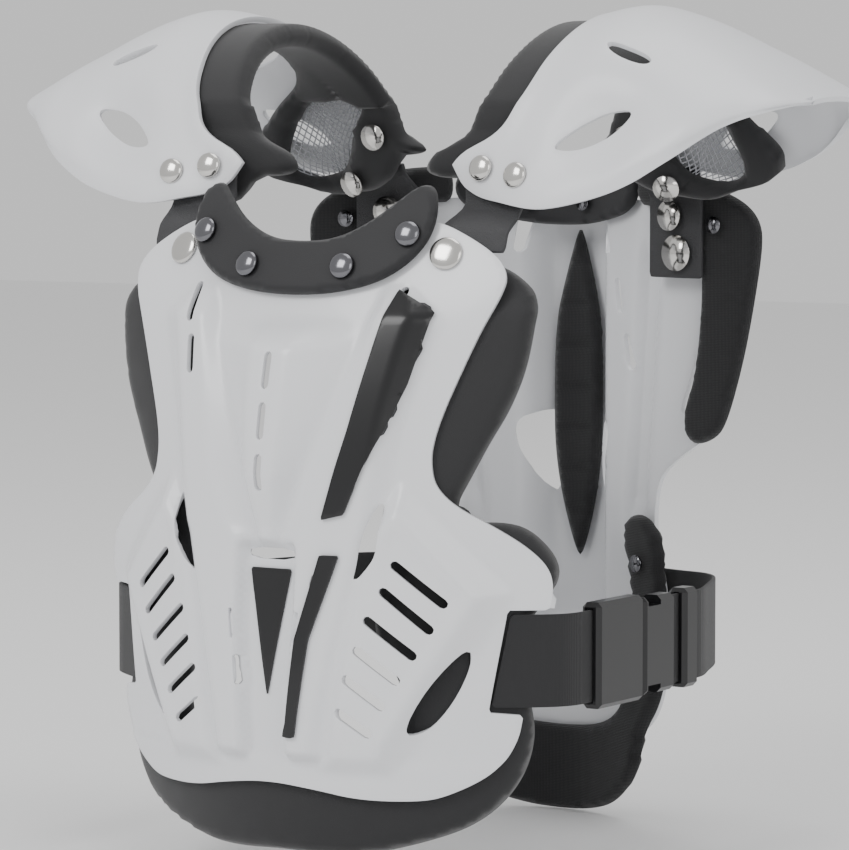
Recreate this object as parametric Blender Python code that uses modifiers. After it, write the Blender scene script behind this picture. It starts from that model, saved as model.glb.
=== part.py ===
"""Roost deflector worn over the chest and back, with shoulder caps.

Frame: metres, +Z up, the wearer faces -Y, the wearer's left side is +X.
The origin lies midway between the shoulders, at the height where the two
shoulder pads rest on them.  All shells follow four smooth surfaces: the front
of the chest, the back, the shoulder arch, and the path of the waist strap.
Every piece is a flat plan with holes, laid on one of those surfaces at a named
distance from it, so that neighbours keep a named gap whatever the sizes are.
"""

import math

import bmesh
import bpy
import numpy as np
from mathutils import Matrix, Vector
from mathutils.geometry import delaunay_2d_cdt

# Chest plate
PLATE_HALF = 0.145        # half width across the hip lobes
PLATE_HEIGHT = 0.312      # from the top corners down to the lower edge
PLATE_TOP = -0.097        # height of the top corners
CHEST_DEPTH = 0.160       # how far the chest lies in front of the origin
SIDE_SWEEP = 0.063        # how far the plate's edge curves back at its hips
PLATE_WALL = 0.003
KEEL_RISE = 0.018         # centre keel above the plate's base surface
RIDGE_RISE = 0.009        # the two long ridges
CREASE_RISE = 0.003       # valley between keel and ridge
LOBE_RISE = 0.008         # louvre panel of a hip lobe
FLANGE_RISE = 0.002
BAND_RISE = 0.0015        # plain band along the lower edge
LOUVRE_WIDTH = 0.0050
SLOT_WIDTH = 0.0048

# Back plate
BACK_DEPTH = 0.162        # inner face of the back plate on the spine
BACK_RISE = 0.041         # how much further back the spine lies than the sides
BACK_SPREAD = 0.074       # half width over which it falls
BACK_HALF = 0.138
BACK_HEIGHT = 0.326
BACK_TOP = -0.088
CHANNEL_DEPTH = 0.0205    # groove along the spine, pushed outwards
CHANNEL_HALF = 0.020
CHANNEL_SLOPE = 0.012
BACK_RIDGE = 0.006

# Shoulder caps
CAP_REACH = 0.258         # from the centre plane to the tip of a cap
CAP_NECK = 0.119          # inner edge of a cap on top of the shoulder
CAP_TAB = 0.069           # inner edge of a cap at its fastening tabs
CAP_TOP = 0.019           # crown above the origin
CAP_DROP = 0.110          # from the crown down to the lowest edge
CAP_HALF_DEPTH = 0.103
CAP_MIDDLE = 0.008        # where the arch's own middle plane lies
CAP_REAR = 1.12           # rear half of the arch is this much deeper
CAP_REAR_END = 82.0       # degrees at which the cap's rear edge lies
CAP_WALL = 0.003
EYE_DENT = 0.013          # hollow round the eye shaped opening

# Soft pieces
PAD_WALL = 0.013          # shoulder pad foam
PAD_NECK = 0.031          # pad beyond the cap's inner edge, towards the neck
MESH_WALL = 0.0016
LINER_WALL = 0.013        # foam frame behind the chest plate
COLLAR_WALL = 0.006
SIDE_PAD_WALL = 0.008
SPINE_PAD_WALL = 0.008
SPINE_PAD_HALF = 0.018
HIP_PAD_WALL = 0.009
STRAP_WALL = 0.003        # shoulder straps
STRAP_WIDTH = 0.039
WEB_WIDTH = 0.050         # waist webbing
WEB_WALL = 0.002
GAP = 0.0004              # between pieces that touch
SEAT = 0.0009             # between a fastener's head and what it sits on

# Waist buckle
WAIST_OUT = 0.150         # buckle's distance from the centre plane
WAIST_HEIGHT = -0.333     # middle of the webbing
FEMALE_LENGTH = 0.050
MALE_LENGTH = 0.035
SLIDER_LENGTH = 0.016
BUCKLE_HEIGHT = 0.058
BUCKLE_THICK = 0.012
BUCKLE_START = -0.071     # front face of the buckle
SLIDER_SPACE = 0.011      # webbing that shows between buckle and slider

# Fasteners
DOME_RADIUS = 0.0072
DOME_HEIGHT = 0.0042
SCREW_RADIUS = 0.0092
DISC_RADIUS = 0.0088
WASHER_RADIUS = 0.0078
EYELET_RADIUS = 0.0105
EYELET_BORE = 0.0062
HEAD_SIDES = 12

# Fineness of the facets
CHEST_STEP = 0.019
BACK_STEP = 0.013
CAP_STEP = 0.022
UPRIGHT = 3.3             # the back is straight up and down: longer facets
TURN = 410.0              # degrees of arch that count like a metre of reach

# Height share below the plate's top, depth share and sweep share of the chest.
CHEST_ROWS = (
    (-0.10, 0.60, 0.42),
    (-0.03, 0.70, 0.43),
    (0.06, 0.775, 0.43),
    (0.13, 0.825, 0.43),
    (0.26, 0.895, 0.53),
    (0.42, 0.95, 0.67),
    (0.61, 0.975, 0.86),
    (0.84, 1.00, 0.97),
    (0.97, 0.995, 1.00),
    (1.20, 0.985, 1.02),
)

# Half outlines: share of the half width, share of the height below the top.
PLATE_EDGE = (
    (0.00, 0.106), (0.21, 0.077), (0.38, 0.035), (0.48, 0.005), (0.56, 0.005),
    (0.76, 0.052), (0.835, 0.09), (0.82, 0.13), (0.77, 0.18), (0.715, 0.245),
    (0.64, 0.34), (0.615, 0.39), (0.615, 0.42), (0.63, 0.455), (0.70, 0.49),
    (0.83, 0.525), (0.93, 0.56), (0.99, 0.595), (1.00, 0.63), (0.985, 0.668),
    (0.86, 0.668), (0.80, 0.845), (0.905, 0.85), (0.89, 0.89), (0.85, 0.93),
    (0.79, 0.96), (0.67, 0.99), (0.585, 1.00), (0.37, 1.00), (0.20, 0.985),
    (0.00, 0.975),
)
PLATE_SHARP = (19, 20, 21, 22)   # corners of the strap notch stay square
LINER_EDGE = (
    (0.00, 0.115), (0.30, 0.085), (0.46, 0.035), (0.62, 0.042), (0.745, 0.058),
    (0.855, 0.08), (0.945, 0.12), (0.945, 0.18), (0.925, 0.255),
    (0.875, 0.325), (0.81, 0.38), (0.745, 0.445), (0.69, 0.495),
    (0.74, 0.522), (0.85, 0.520), (0.94, 0.532), (1.02, 0.58), (1.03, 0.62),
    (0.97, 0.662), (0.92, 0.70), (0.92, 0.79), (0.945, 0.86), (0.945, 0.90),
    (0.92, 0.95), (0.87, 0.995), (0.79, 1.035), (0.675, 1.065), (0.41, 1.10),
    (0.20, 1.105), (0.00, 1.10),
)
LINER_OPENING = (
    (0.00, 0.16), (0.28, 0.15), (0.48, 0.145), (0.55, 0.20), (0.525, 0.29),
    (0.47, 0.39), (0.43, 0.48), (0.40, 0.58), (0.40, 0.735), (0.50, 0.785),
    (0.53, 0.865), (0.47, 0.925), (0.20, 0.935), (0.00, 0.93),
)
COLLAR_EDGE = (
    (0.00, 0.045), (0.14, 0.040), (0.27, 0.012), (0.38, -0.030),
    (0.445, -0.055), (0.515, -0.045), (0.545, 0.010), (0.50, 0.065),
    (0.38, 0.110), (0.20, 0.132), (0.00, 0.138),
)
BACK_EDGE = (
    (0.00, 0.015), (0.35, 0.010), (0.62, 0.016), (0.80, 0.020), (0.94, 0.025),
    (1.00, 0.060), (0.93, 0.105), (0.845, 0.145), (0.81, 0.25), (0.745, 0.34),
    (0.69, 0.39), (0.75, 0.40), (0.84, 0.39), (0.865, 0.425), (0.78, 0.448),
    (0.66, 0.48), (0.59, 0.505), (0.56, 0.535), (0.545, 0.60), (0.58, 0.665),
    (0.62, 0.73), (0.62, 0.87), (0.565, 0.945), (0.45, 0.985), (0.22, 1.00),
    (0.00, 1.005),
)
COLLAR_BACK_EDGE = (
    (0.00, -0.020), (0.22, -0.030), (0.47, -0.045), (0.47, 0.030),
    (0.19, 0.058), (0.00, 0.062),
)
SIDE_PAD_EDGE = (
    (0.478, -0.042), (0.60, -0.045), (0.77, -0.034), (0.91, -0.012),
    (1.04, 0.010), (1.115, 0.042), (1.13, 0.085), (1.085, 0.20), (1.035, 0.30),
    (0.955, 0.41), (0.89, 0.435), (0.80, 0.445), (0.745, 0.425), (0.745, 0.38),
    (0.80, 0.325), (0.832, 0.205), (0.832, 0.13), (0.84, 0.075), (0.70, 0.052),
    (0.565, 0.020), (0.478, 0.022),
)
HIP_PAD_EDGE = (
    (0.00, 0.985), (0.24, 0.975), (0.37, 0.94), (0.45, 0.86), (0.46, 0.72),
    (0.40, 0.63), (0.40, 0.59), (0.50, 0.575), (0.585, 0.59), (0.64, 0.63),
    (0.645, 0.70), (0.655, 0.78), (0.65, 0.90), (0.52, 0.98), (0.50, 1.03),
    (0.45, 1.07), (0.33, 1.115), (0.17, 1.135), (0.00, 1.140),
)

# Share of the way to the tip, half depth, crown drop and edge drop of a cap.
CAP_ROWS = (
    (0.00, 0.875, 0.036, 0.790),
    (0.04, 0.895, 0.025, 0.885),
    (0.08, 0.915, 0.014, 0.927),
    (0.19, 0.970, 0.000, 0.973),
    (0.32, 1.000, 0.036, 1.000),
    (0.45, 0.970, 0.095, 0.964),
    (0.59, 0.922, 0.177, 0.882),
    (0.71, 0.854, 0.250, 0.755),
    (0.83, 0.690, 0.332, 0.600),
    (0.945, 0.495, 0.418, 0.518),
    (1.00, 0.290, 0.455, 0.482),
)
# Degrees from the top of the arch, share of the way from tab to neck edge.
NECK_ROWS = (
    (0.0, 1.00), (20.0, 1.00), (45.0, 0.90), (65.0, 0.74), (80.0, 0.44),
    (85.0, 0.16), (90.0, 0.00), (110.0, -0.05),
)
CAP_EYE = (
    (0.19, 74.0), (0.26, 66.0), (0.34, 60.5), (0.46, 59.0), (0.415, 67.0),
    (0.337, 71.5), (0.26, 74.0),
)
CAP_SLIT = ((0.214, 34.0), (0.245, 39.0), (0.43, 42.0), (0.435, 36.5))


def table(rows, column, at):
    """Smooth curve through a column of a table, read at a value or an array."""
    x = np.array([row[0] for row in rows])
    y = np.array([row[column] for row in rows])
    slope = np.gradient(y, x)
    at = np.clip(at, x[0], x[-1])
    i = np.clip(np.searchsorted(x, at, side="right") - 1, 0, len(x) - 2)
    span = x[i + 1] - x[i]
    t = (at - x[i]) / span
    return (
        (2 * t**3 - 3 * t**2 + 1) * y[i]
        + (t**3 - 2 * t**2 + t) * span * slope[i]
        + (3 * t**2 - 2 * t**3) * y[i + 1]
        + (t**3 - t**2) * span * slope[i + 1]
    )


def ramp(value, low, high):
    """0 below low, 1 above high, straight in between."""
    return np.clip((value - low) / (high - low), 0.0, 1.0)


# Relief of the chest plate.  Per height share: half widths, as shares of the
# plate's half width, of the keel, the crease and the ridge's two sides, and
# the shares of their rises that the keel and the ridge have there.
RELIEF_ROWS = (
    (-0.10, 0.10, 0.40, 0.42, 0.55, 0.66, 0.0, 0.0),
    (0.11, 0.10, 0.37, 0.41, 0.46, 0.48, 0.0, 0.0),
    (0.17, 0.10, 0.34, 0.39, 0.52, 0.62, 0.0, 1.0),
    (0.18, 0.09, 0.33, 0.385, 0.51, 0.62, 0.1, 1.0),
    (0.22, 0.080, 0.30, 0.37, 0.49, 0.59, 1.0, 1.0),
    (0.34, 0.075, 0.21, 0.32, 0.44, 0.51, 1.0, 1.0),
    (0.44, 0.060, 0.13, 0.28, 0.41, 0.47, 1.0, 1.0),
    (0.53, 0.030, 0.07, 0.19, 0.38, 0.45, 0.5, 1.0),
    (0.555, 0.020, 0.05, 0.13, 0.36, 0.43, 0.5, 1.0),
    (0.565, 0.105, 0.115, 0.130, 0.36, 0.42, 0.0, 1.0),
    (0.70, 0.100, 0.110, 0.125, 0.29, 0.35, 0.0, 1.0),
    (0.86, 0.080, 0.090, 0.105, 0.21, 0.29, 0.0, 1.0),
    (0.925, 0.075, 0.085, 0.100, 0.19, 0.27, 0.0, 1.0),
    (0.935, 0.075, 0.085, 0.100, 0.19, 0.27, 0.0, 0.1),
    (1.20, 0.075, 0.085, 0.100, 0.19, 0.27, 0.0, 0.1),
)
LOBE_PANEL = (
    (0.44, 0.545), (0.52, 0.50), (0.79, 0.645), (0.45, 0.925), (0.29, 0.925),
    (0.36, 0.70),
)


def row_value(rows, column, at):
    return np.interp(at, [r[0] for r in rows], [r[column] for r in rows])


def inside_distance(points, x, y):
    """Distance to the nearest side of a convex outline, positive inside."""
    best = np.full(np.shape(x), np.inf)
    loop = list(points) + [points[0]]
    turn = sum(a[0] * b[1] - b[0] * a[1] for a, b in zip(loop[:-1], loop[1:]))
    for a, b in zip(loop[:-1], loop[1:]):
        length = math.hypot(b[0] - a[0], b[1] - a[1])
        side = (b[0] - a[0]) * (y - a[1]) - (b[1] - a[1]) * (x - a[0])
        best = np.minimum(best, math.copysign(1.0, turn) * side / length)
    return best


def chest_relief(x, z):
    """Rise of the chest plate above its base surface."""
    share = (PLATE_TOP - z) / PLATE_HEIGHT
    side = np.abs(x) / PLATE_HALF
    keel, crease, inner, outer, valley = (
        row_value(RELIEF_ROWS, column, share) for column in range(1, 6)
    )
    keel_rise = KEEL_RISE * row_value(RELIEF_ROWS, 6, share)
    ridge_rise = RIDGE_RISE * row_value(RELIEF_ROWS, 7, share)
    crease_rise = CREASE_RISE * ramp(share, 0.15, 0.22) * (share < 0.56)
    rise = keel_rise + (crease_rise - keel_rise) * ramp(side, keel, crease)
    rise = rise + (ridge_rise - crease_rise) * ramp(side, crease, inner)
    rise = rise - ridge_rise * ramp(side, outer, valley)
    lobe = inside_distance(
        [(a * PLATE_HALF, -b * PLATE_HEIGHT) for a, b in LOBE_PANEL],
        np.abs(x),
        -share * PLATE_HEIGHT,
    )
    rise = np.maximum(rise, LOBE_RISE * ramp(lobe, -0.012, 0.0))
    band = BAND_RISE * ramp(share, 0.928, 0.94)
    return np.maximum(rise, band)


def chest_base(x, z):
    share = (PLATE_TOP - z) / PLATE_HEIGHT
    depth = CHEST_DEPTH * table(CHEST_ROWS, 1, share)
    sweep = SIDE_SWEEP * table(CHEST_ROWS, 2, share)
    return np.stack([x, -depth + sweep * (x / PLATE_HALF) ** 2, z], axis=-1)


def chest_plate_surface(x, z):
    points = chest_base(x, z)
    points[..., 1] -= chest_relief(x, z)
    return points


def back_depth(x):
    return BACK_DEPTH - BACK_RISE * (1.0 - np.exp(-((x / BACK_SPREAD) ** 2)))


def back_relief(x, z):
    share = (BACK_TOP - z) / BACK_HEIGHT
    side = np.abs(x)
    channel = 1.0 - ramp(side, CHANNEL_HALF, CHANNEL_HALF + CHANNEL_SLOPE)
    rise = CHANNEL_DEPTH * channel * (1.0 - ramp(share, 0.78, 0.93))
    middle = BACK_HALF * (0.52 - 0.10 * ramp(share, 0.10, 0.60))
    ridge = 1.0 - ramp(np.abs(side - middle), 0.006, 0.012)
    return np.maximum(rise, BACK_RIDGE * ridge * ramp(share, 0.05, 0.12)
                      * (1.0 - ramp(share, 0.55, 0.63)))


def back_base(u, z):
    """Inner face of the back; u runs from the wearer's left to the right."""
    return np.stack([-u, back_depth(u), z], axis=-1)


def channel_floor(u, z):
    """Front of the spine groove's floor, where the spine pad lies."""
    points = back_base(u, z)
    points[..., 1] += CHANNEL_DEPTH - 2 * GAP
    return points


def back_plate_surface(u, z):
    points = back_base(u, z)
    points[..., 1] += PLATE_WALL + back_relief(u, z)
    return points


def cap_neck(angle):
    """Distance of the cap's inner edge from the centre plane."""
    return CAP_TAB + (CAP_NECK - CAP_TAB) * table(NECK_ROWS, 1, np.abs(angle))


def cap_section(share, angle):
    """Point of the shoulder arch; angle in degrees, negative at the front."""
    turn = np.radians(angle)
    depth = CAP_HALF_DEPTH * row_value(CAP_ROWS, 1, share)
    crown = CAP_TOP - CAP_DROP * row_value(CAP_ROWS, 2, share)
    edge = CAP_TOP - CAP_DROP * row_value(CAP_ROWS, 3, share)
    y = CAP_MIDDLE + depth * np.sin(turn) * np.where(turn > 0, CAP_REAR, 1.0)
    z = edge + (crown - edge) * np.cos(turn)
    dent = EYE_DENT * np.exp(
        -(((share - 0.33) / 0.17) ** 2) - ((np.abs(angle) - 66.0) / 15.0) ** 2
    )
    return y - dent * np.sign(angle), z


def cap_surface(reach, angle):
    """Reach is the distance outwards from the cap's inner edge."""
    neck = cap_neck(angle)
    share = np.clip(reach / (CAP_REACH - neck), 0.0, 1.0)
    y, z = cap_section(share, angle)
    return np.stack([neck + reach, y, z], axis=-1)


def pad_surface(reach, angle):
    """The pad lies below the cap, and deeper where the straps pass."""
    under = -(CAP_WALL + 3.8 * GAP) - (STRAP_WALL + 6.5 * GAP) * ramp(
        np.abs(angle), 64.0, 75.0
    )
    return offset(cap_surface, reach, angle, under)


def tab_depth(x, z):
    """Distance of a cap's wall from the arch's middle plane, near its tabs."""
    x = np.minimum(x, CAP_TAB + 0.7 * STRAP_WIDTH)
    angle = np.full(np.shape(x), 86.0)
    for _ in range(6):
        neck = cap_neck(angle)
        share = np.clip((x - neck) / (CAP_REACH - neck), 0.0, 1.0)
        depth = CAP_HALF_DEPTH * row_value(CAP_ROWS, 1, share)
        crown = CAP_TOP - CAP_DROP * row_value(CAP_ROWS, 2, share)
        edge = CAP_TOP - CAP_DROP * row_value(CAP_ROWS, 3, share)
        rise = np.clip((z - edge) / (crown - edge), 0.0, 0.9)
        angle = 0.5 * (angle + np.degrees(np.arccos(rise)))
    return depth * np.sqrt(1.0 - rise**2)


def front_strap_surface(x, z):
    """From behind the chest plate's top edge up to behind the cap's tab."""
    low = offset(chest_base, x, z, -(PLATE_WALL + 2.5 * GAP))[..., 1]
    high = CAP_MIDDLE - tab_depth(x, z) + CAP_WALL + 4.5 * GAP
    mix = ramp(z, PLATE_TOP - 0.007, PLATE_TOP + 0.009)
    mix = mix * mix * (3.0 - 2.0 * mix)
    return np.stack([x, low + (high - low) * mix, z], axis=-1)


def rear_strap_surface(u, z):
    """From in front of the back's side pad up to behind the cap's rear tab."""
    low = back_depth(u) - SIDE_PAD_WALL - 5.0 * GAP
    high = CAP_MIDDLE + CAP_REAR * tab_depth(-u, z) - CAP_WALL - 4.5 * GAP
    mix = ramp(z, BACK_TOP - 0.002, BACK_TOP + 0.013)
    mix = mix * mix * (3.0 - 2.0 * mix)
    return np.stack([-u, low + (high - low) * mix, z], axis=-1)


def liner_surface(x, z):
    """The foam frame lies deeper along its top, where the straps end."""
    share = (PLATE_TOP - z) / PLATE_HEIGHT
    dip = (STRAP_WALL + 2.5 * GAP) * (1.0 - ramp(share, 0.11, 0.17))
    return offset(chest_base, x, z, -(PLATE_WALL + 2 * GAP) - dip)


def waist_rows():
    """Path of the waist webbing's outer face: run, x and y."""
    points = []
    lift = np.array([WEB_WALL - PLATE_WALL - 0.5 * GAP])
    level = np.array([WAIST_HEIGHT])
    for share in (0.78, 0.84, 0.90, 0.955):
        side = np.array([share * PLATE_HALF])
        points.append(offset(chest_base, side, level, lift)[0][:2])
    face = WAIST_OUT + WEB_WALL / 2
    start = BUCKLE_START
    points.append((face - 0.0035, start - 0.022))
    points.append((face - 0.0003, start - 0.012))
    points.append((face, start - 0.004))
    points.append((face, start + 0.005))
    points.append((face, start + 0.010))
    points.append((face, start + 0.020))
    rear = start + FEMALE_LENGTH + MALE_LENGTH
    points.append((face, rear - 0.015))
    end = rear + SLIDER_SPACE + SLIDER_LENGTH
    points.append((face, end))
    points.append((face, end + 0.010))
    points.append((face - 0.008, end + 0.035))
    lift = np.array([PLATE_WALL + WEB_WALL + 1.5 * GAP])
    across = 0.62 * BACK_HALF
    reach = (across + 0.022, across + 0.008, across - 0.008, across - 0.024)
    for side in reach:
        edge = offset(back_base, np.array([-side]), level, lift)[0]
        points.append(tuple(edge[:2]))
    points = np.array([tuple(p) for p in points])
    run = np.concatenate(
        [[0.0], np.cumsum(np.hypot(*np.diff(points, axis=0).T))]
    )
    return [(r, x, y) for r, (x, y) in zip(run, points)]


def waist_surface(run, z):
    rows = waist_rows()
    return np.stack([table(rows, 1, run), table(rows, 2, run), z], axis=-1)


def offset(surface, u, v, lift):
    """Points of a surface moved outwards along its normal."""
    u = np.asarray(u, dtype=float)
    v = np.asarray(v, dtype=float)
    du = 0.0005
    dv = 0.0005 if surface not in (cap_surface, pad_surface) else 0.3
    along = surface(u + du, v) - surface(u - du, v)
    across = surface(u, v + dv) - surface(u, v - dv)
    normal = np.cross(along, across)
    normal = normal / np.linalg.norm(normal, axis=-1, keepdims=True)
    return surface(u, v) + normal * np.asarray(lift)[..., None]


def softened(points, sharp=()):
    """One round of corner cutting on an open chain, ends kept."""
    result = [points[0]]
    last = len(points) - 1
    for index in range(last):
        a = np.array(points[index])
        b = np.array(points[index + 1])
        start = 0.0 if index in sharp or index == 0 else 0.25
        end = 1.0 if index + 1 in sharp or index + 1 == last else 0.75
        if start > 0.0:
            result.append(tuple(a + (b - a) * start))
        elif index in sharp:
            result.append(tuple(a))
        if end < 1.0:
            result.append(tuple(a + (b - a) * end))
    result.append(points[last])
    return result


def sized(points, width, height, top):
    return [(a * width, top - b * height) for a, b in points]


def whole(half):
    """Full loop from a half outline whose ends lie on the centre plane."""
    return [(-x, z) for x, z in reversed(half[1:-1])] + list(half)


def loop_of(points, width, height, top, sharp=()):
    return whole(softened(sized(points, width, height, top), sharp))


def closed(points):
    """Corner cutting on a closed loop."""
    result = []
    for a, b in zip(points, list(points[1:]) + [points[0]]):
        a = np.array(a)
        b = np.array(b)
        result.append(tuple(a + (b - a) * 0.25))
        result.append(tuple(a + (b - a) * 0.75))
    return result


def slot(start, end, width, sides=3):
    """Outline of a slot with round ends."""
    a = np.array(start)
    b = np.array(end)
    heading = math.atan2(b[1] - a[1], b[0] - a[0])
    points = []
    for centre, first in ((b, -90.0), (a, 90.0)):
        for step in range(sides + 1):
            turn = heading + math.radians(first + 180.0 * step / sides)
            corner = (math.cos(turn), math.sin(turn))
            points.append(tuple(centre + np.array(corner) * width / 2))
    return points


def contains(loop, x, y):
    """Even-odd test of many points against a loop."""
    inside = np.zeros(len(x), dtype=bool)
    for (ax, ay), (bx, by) in zip(loop, loop[1:] + loop[:1]):
        crosses = (ay > y) != (by > y)
        with np.errstate(divide="ignore", invalid="ignore"):
            reach = ax + (y - ay) * (bx - ax) / (by - ay)
        inside ^= crosses & (x < reach)
    return inside


def near(loops, x, y, distance):
    """Points that lie closer than a distance to any side of the chains."""
    close = np.zeros(len(x), dtype=bool)
    for chain in loops:
        for (ax, ay), (bx, by) in zip(chain[:-1], chain[1:]):
            length2 = (bx - ax) ** 2 + (by - ay) ** 2 + 1e-18
            t = ((x - ax) * (bx - ax) + (y - ay) * (by - ay)) / length2
            t = np.clip(t, 0.0, 1.0)
            gap = np.hypot(x - ax - t * (bx - ax), y - ay - t * (by - ay))
            close |= gap < distance
    return close


def divided(chain, longest):
    """Adds points so that no piece of a chain is longer than a length."""
    result = [chain[0]]
    for a, b in zip(chain[:-1], chain[1:]):
        pieces = max(1, math.ceil(math.hypot(b[0] - a[0], b[1] - a[1]) / longest))
        for step in range(1, pieces + 1):
            share = step / pieces
            result.append((a[0] + (b[0] - a[0]) * share,
                           a[1] + (b[1] - a[1]) * share))
    return result


def plan_triangles(outline, holes, creases, step, stretch):
    """Triangulated plan: outline, holes and creases are kept as edges."""
    chains = [list(outline) + [outline[0]]]
    chains += [list(hole) + [hole[0]] for hole in holes]
    chains += [list(crease) for crease in creases]
    chains = [[(a, b / stretch) for a, b in chain] for chain in chains]
    chains = [divided(chain, 1.15 * step) for chain in chains]
    border = chains[0][:-1]
    openings = [chain[:-1] for chain in chains[1:1 + len(holes)]]
    flat = np.array(border)
    low = flat.min(axis=0)
    high = flat.max(axis=0)
    rows = int((high[1] - low[1]) / (step * 0.87)) + 1
    grid = []
    middle = (low[0] + high[0]) / 2
    half = int((high[0] - low[0]) / 2 / step) + 1
    for row in range(1, rows):
        shift = 0.5 * (row % 2)
        for column in range(-half, half + 1):
            x = middle + (column + shift) * step
            grid.append((x, low[1] + row * (high[1] - low[1]) / rows))
    x, y = np.array(grid, dtype=float).reshape(-1, 2).T
    keep = contains(border, x, y) & ~near(chains, x, y, 0.55 * step)
    for opening in openings:
        keep &= ~contains(opening, x, y)
    points = list(zip(x[keep], y[keep]))
    edges = []
    for number, chain in enumerate(chains):
        loop = number <= len(holes)
        first = len(points)
        body = chain[:-1] if loop else chain
        points += body
        edges += [(first + i, first + i + 1) for i in range(len(body) - 1)]
        if loop:
            edges.append((first + len(body) - 1, first))
    found = delaunay_2d_cdt(
        [Vector(p) for p in points], edges, [], 0, 1e-7
    )
    flat = np.array([tuple(p) for p in found[0]])
    faces = np.array([tuple(f) for f in found[2]])
    centre = flat[faces].mean(axis=1)
    keep = contains(border, centre[:, 0], centre[:, 1])
    for opening in openings:
        keep &= ~contains(opening, centre[:, 0], centre[:, 1])
    faces = faces[keep]
    used, numbers = np.unique(faces, return_inverse=True)
    flat = flat[used] * (1.0, stretch)
    return flat, numbers.reshape(-1, 3)


def material(name, colour, roughness, metallic=0.0):
    made = bpy.data.materials.new(name)
    made.use_nodes = True
    shader = made.node_tree.nodes["Principled BSDF"]
    shader.inputs["Base Color"].default_value = (*colour, 1.0)
    shader.inputs["Roughness"].default_value = roughness
    shader.inputs["Metallic"].default_value = metallic
    return made


WHITE = ((0.80, 0.80, 0.82), 0.22)
FOAM = ((0.018, 0.018, 0.020), 0.85)
GRAIN = ((0.045, 0.045, 0.048), 0.70)
WEB = ((0.020, 0.020, 0.022), 0.80)
BLACK_PLASTIC = ((0.012, 0.012, 0.013), 0.40)
RED = ((0.45, 0.02, 0.025), 0.35)
STEEL = ((0.62, 0.61, 0.60), 0.25, 1.0)
DARK_STEEL = ((0.20, 0.20, 0.21), 0.30, 1.0)


def clear_scene():
    for thing in list(bpy.data.objects):
        bpy.data.objects.remove(thing, do_unlink=True)


def collection(name):
    made = bpy.data.collections.new(name)
    bpy.context.scene.collection.children.link(made)
    return made


def add_object(name, mesh, look, group):
    made = bpy.data.objects.new(name, mesh)
    group.objects.link(made)
    made.data.materials.append(material(name + "_finish", *look))
    return made


def sheet(name, surface, outline, wall, look, group, lift=0.0, holes=(),
          creases=(), step=CHEST_STEP, stretch=1.0, mirrored=False,
          within=None):
    """A shell: a flat plan laid on a surface and given its wall inwards."""
    flat, faces = plan_triangles(outline, holes, creases, step, stretch)
    if within is not None:
        centre = flat[faces].mean(axis=1)
        faces = faces[contains(within, centre[:, 0], centre[:, 1])]
        used, numbers = np.unique(faces, return_inverse=True)
        flat = flat[used]
        faces = numbers.reshape(-1, 3)
    points = offset(surface, flat[:, 0], flat[:, 1], np.full(len(flat), lift))
    if mirrored:
        points[:, 0] = -points[:, 0]
        faces = faces[:, ::-1]
    mesh = bpy.data.meshes.new(name)
    mesh.from_pydata(points.tolist(), [], faces.tolist())
    made = add_object(name, mesh, look, group)
    thick = made.modifiers.new("wall", "SOLIDIFY")
    thick.thickness = wall
    thick.offset = -1.0
    thick.use_quality_normals = True
    return made


def turned(name, profile, place, axis, look, group):
    """A turned piece: its profile runs down the outer side, top to bottom."""
    mesh = bpy.data.meshes.new(name)
    points = [(r, 0.0, h) for r, h in profile]
    mesh.from_pydata(points, [(i, i + 1) for i in range(len(points) - 1)], [])
    made = add_object(name, mesh, look, group)
    screw = made.modifiers.new("turn", "SCREW")
    screw.steps = HEAD_SIDES
    screw.render_steps = HEAD_SIDES
    screw.use_merge_vertices = True
    screw.merge_threshold = 0.00001
    made.location = place
    made.rotation_mode = "QUATERNION"
    made.rotation_quaternion = Vector(axis).to_track_quat("Z", "Y")
    return made


def seat(surface, u, v, lift, mirrored=False):
    """Place and direction for a fastener that sits on a surface."""
    low = offset(surface, np.array([u]), np.array([v]), np.array([lift]))[0]
    high = offset(
        surface, np.array([u]), np.array([v]), np.array([lift + 0.001])
    )[0]
    axis = high - low
    if mirrored:
        low = low * (-1, 1, 1)
        axis = axis * (-1, 1, 1)
    return low, axis


def dome_profile(radius, height):
    return (
        (0.0, height), (0.62 * radius, 0.78 * height), (radius, 0.22 * height),
        (radius, 0.0), (0.0, 0.0),
    )


def washer_profile(radius, height):
    return (
        (0.0, 0.7 * height), (0.45 * radius, height), (0.62 * radius, height),
        (radius, 0.35 * height), (radius, 0.0), (0.0, 0.0),
    )


def box(name, low, high, look, group, bevel=0.0012):
    """A box with rounded edges, from its low to its high corner."""
    bpy.ops.mesh.primitive_cube_add(size=1.0)
    made = bpy.context.active_object
    for owner in list(made.users_collection):
        owner.objects.unlink(made)
    group.objects.link(made)
    made.name = name
    centre = (np.array(low) + np.array(high)) / 2
    scale = Matrix.Diagonal((*(np.array(high) - np.array(low)), 1.0))
    made.data.transform(scale)
    made.location = centre
    if look is not None:
        made.data.materials.append(material(name + "_finish", *look))
    if bevel > 0.0:
        rounding = made.modifiers.new("rounding", "BEVEL")
        rounding.width = bevel
        rounding.segments = 1
    return made


def cut(target, name, low, high, cutters):
    """Cut a box out of a piece."""
    tool = box(name, low, high, None, cutters, bevel=0.0)
    tool.hide_render = True
    tool.display_type = "WIRE"
    boolean = target.modifiers.new(name, "BOOLEAN")
    boolean.operation = "DIFFERENCE"
    boolean.object = tool
    return tool


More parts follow.
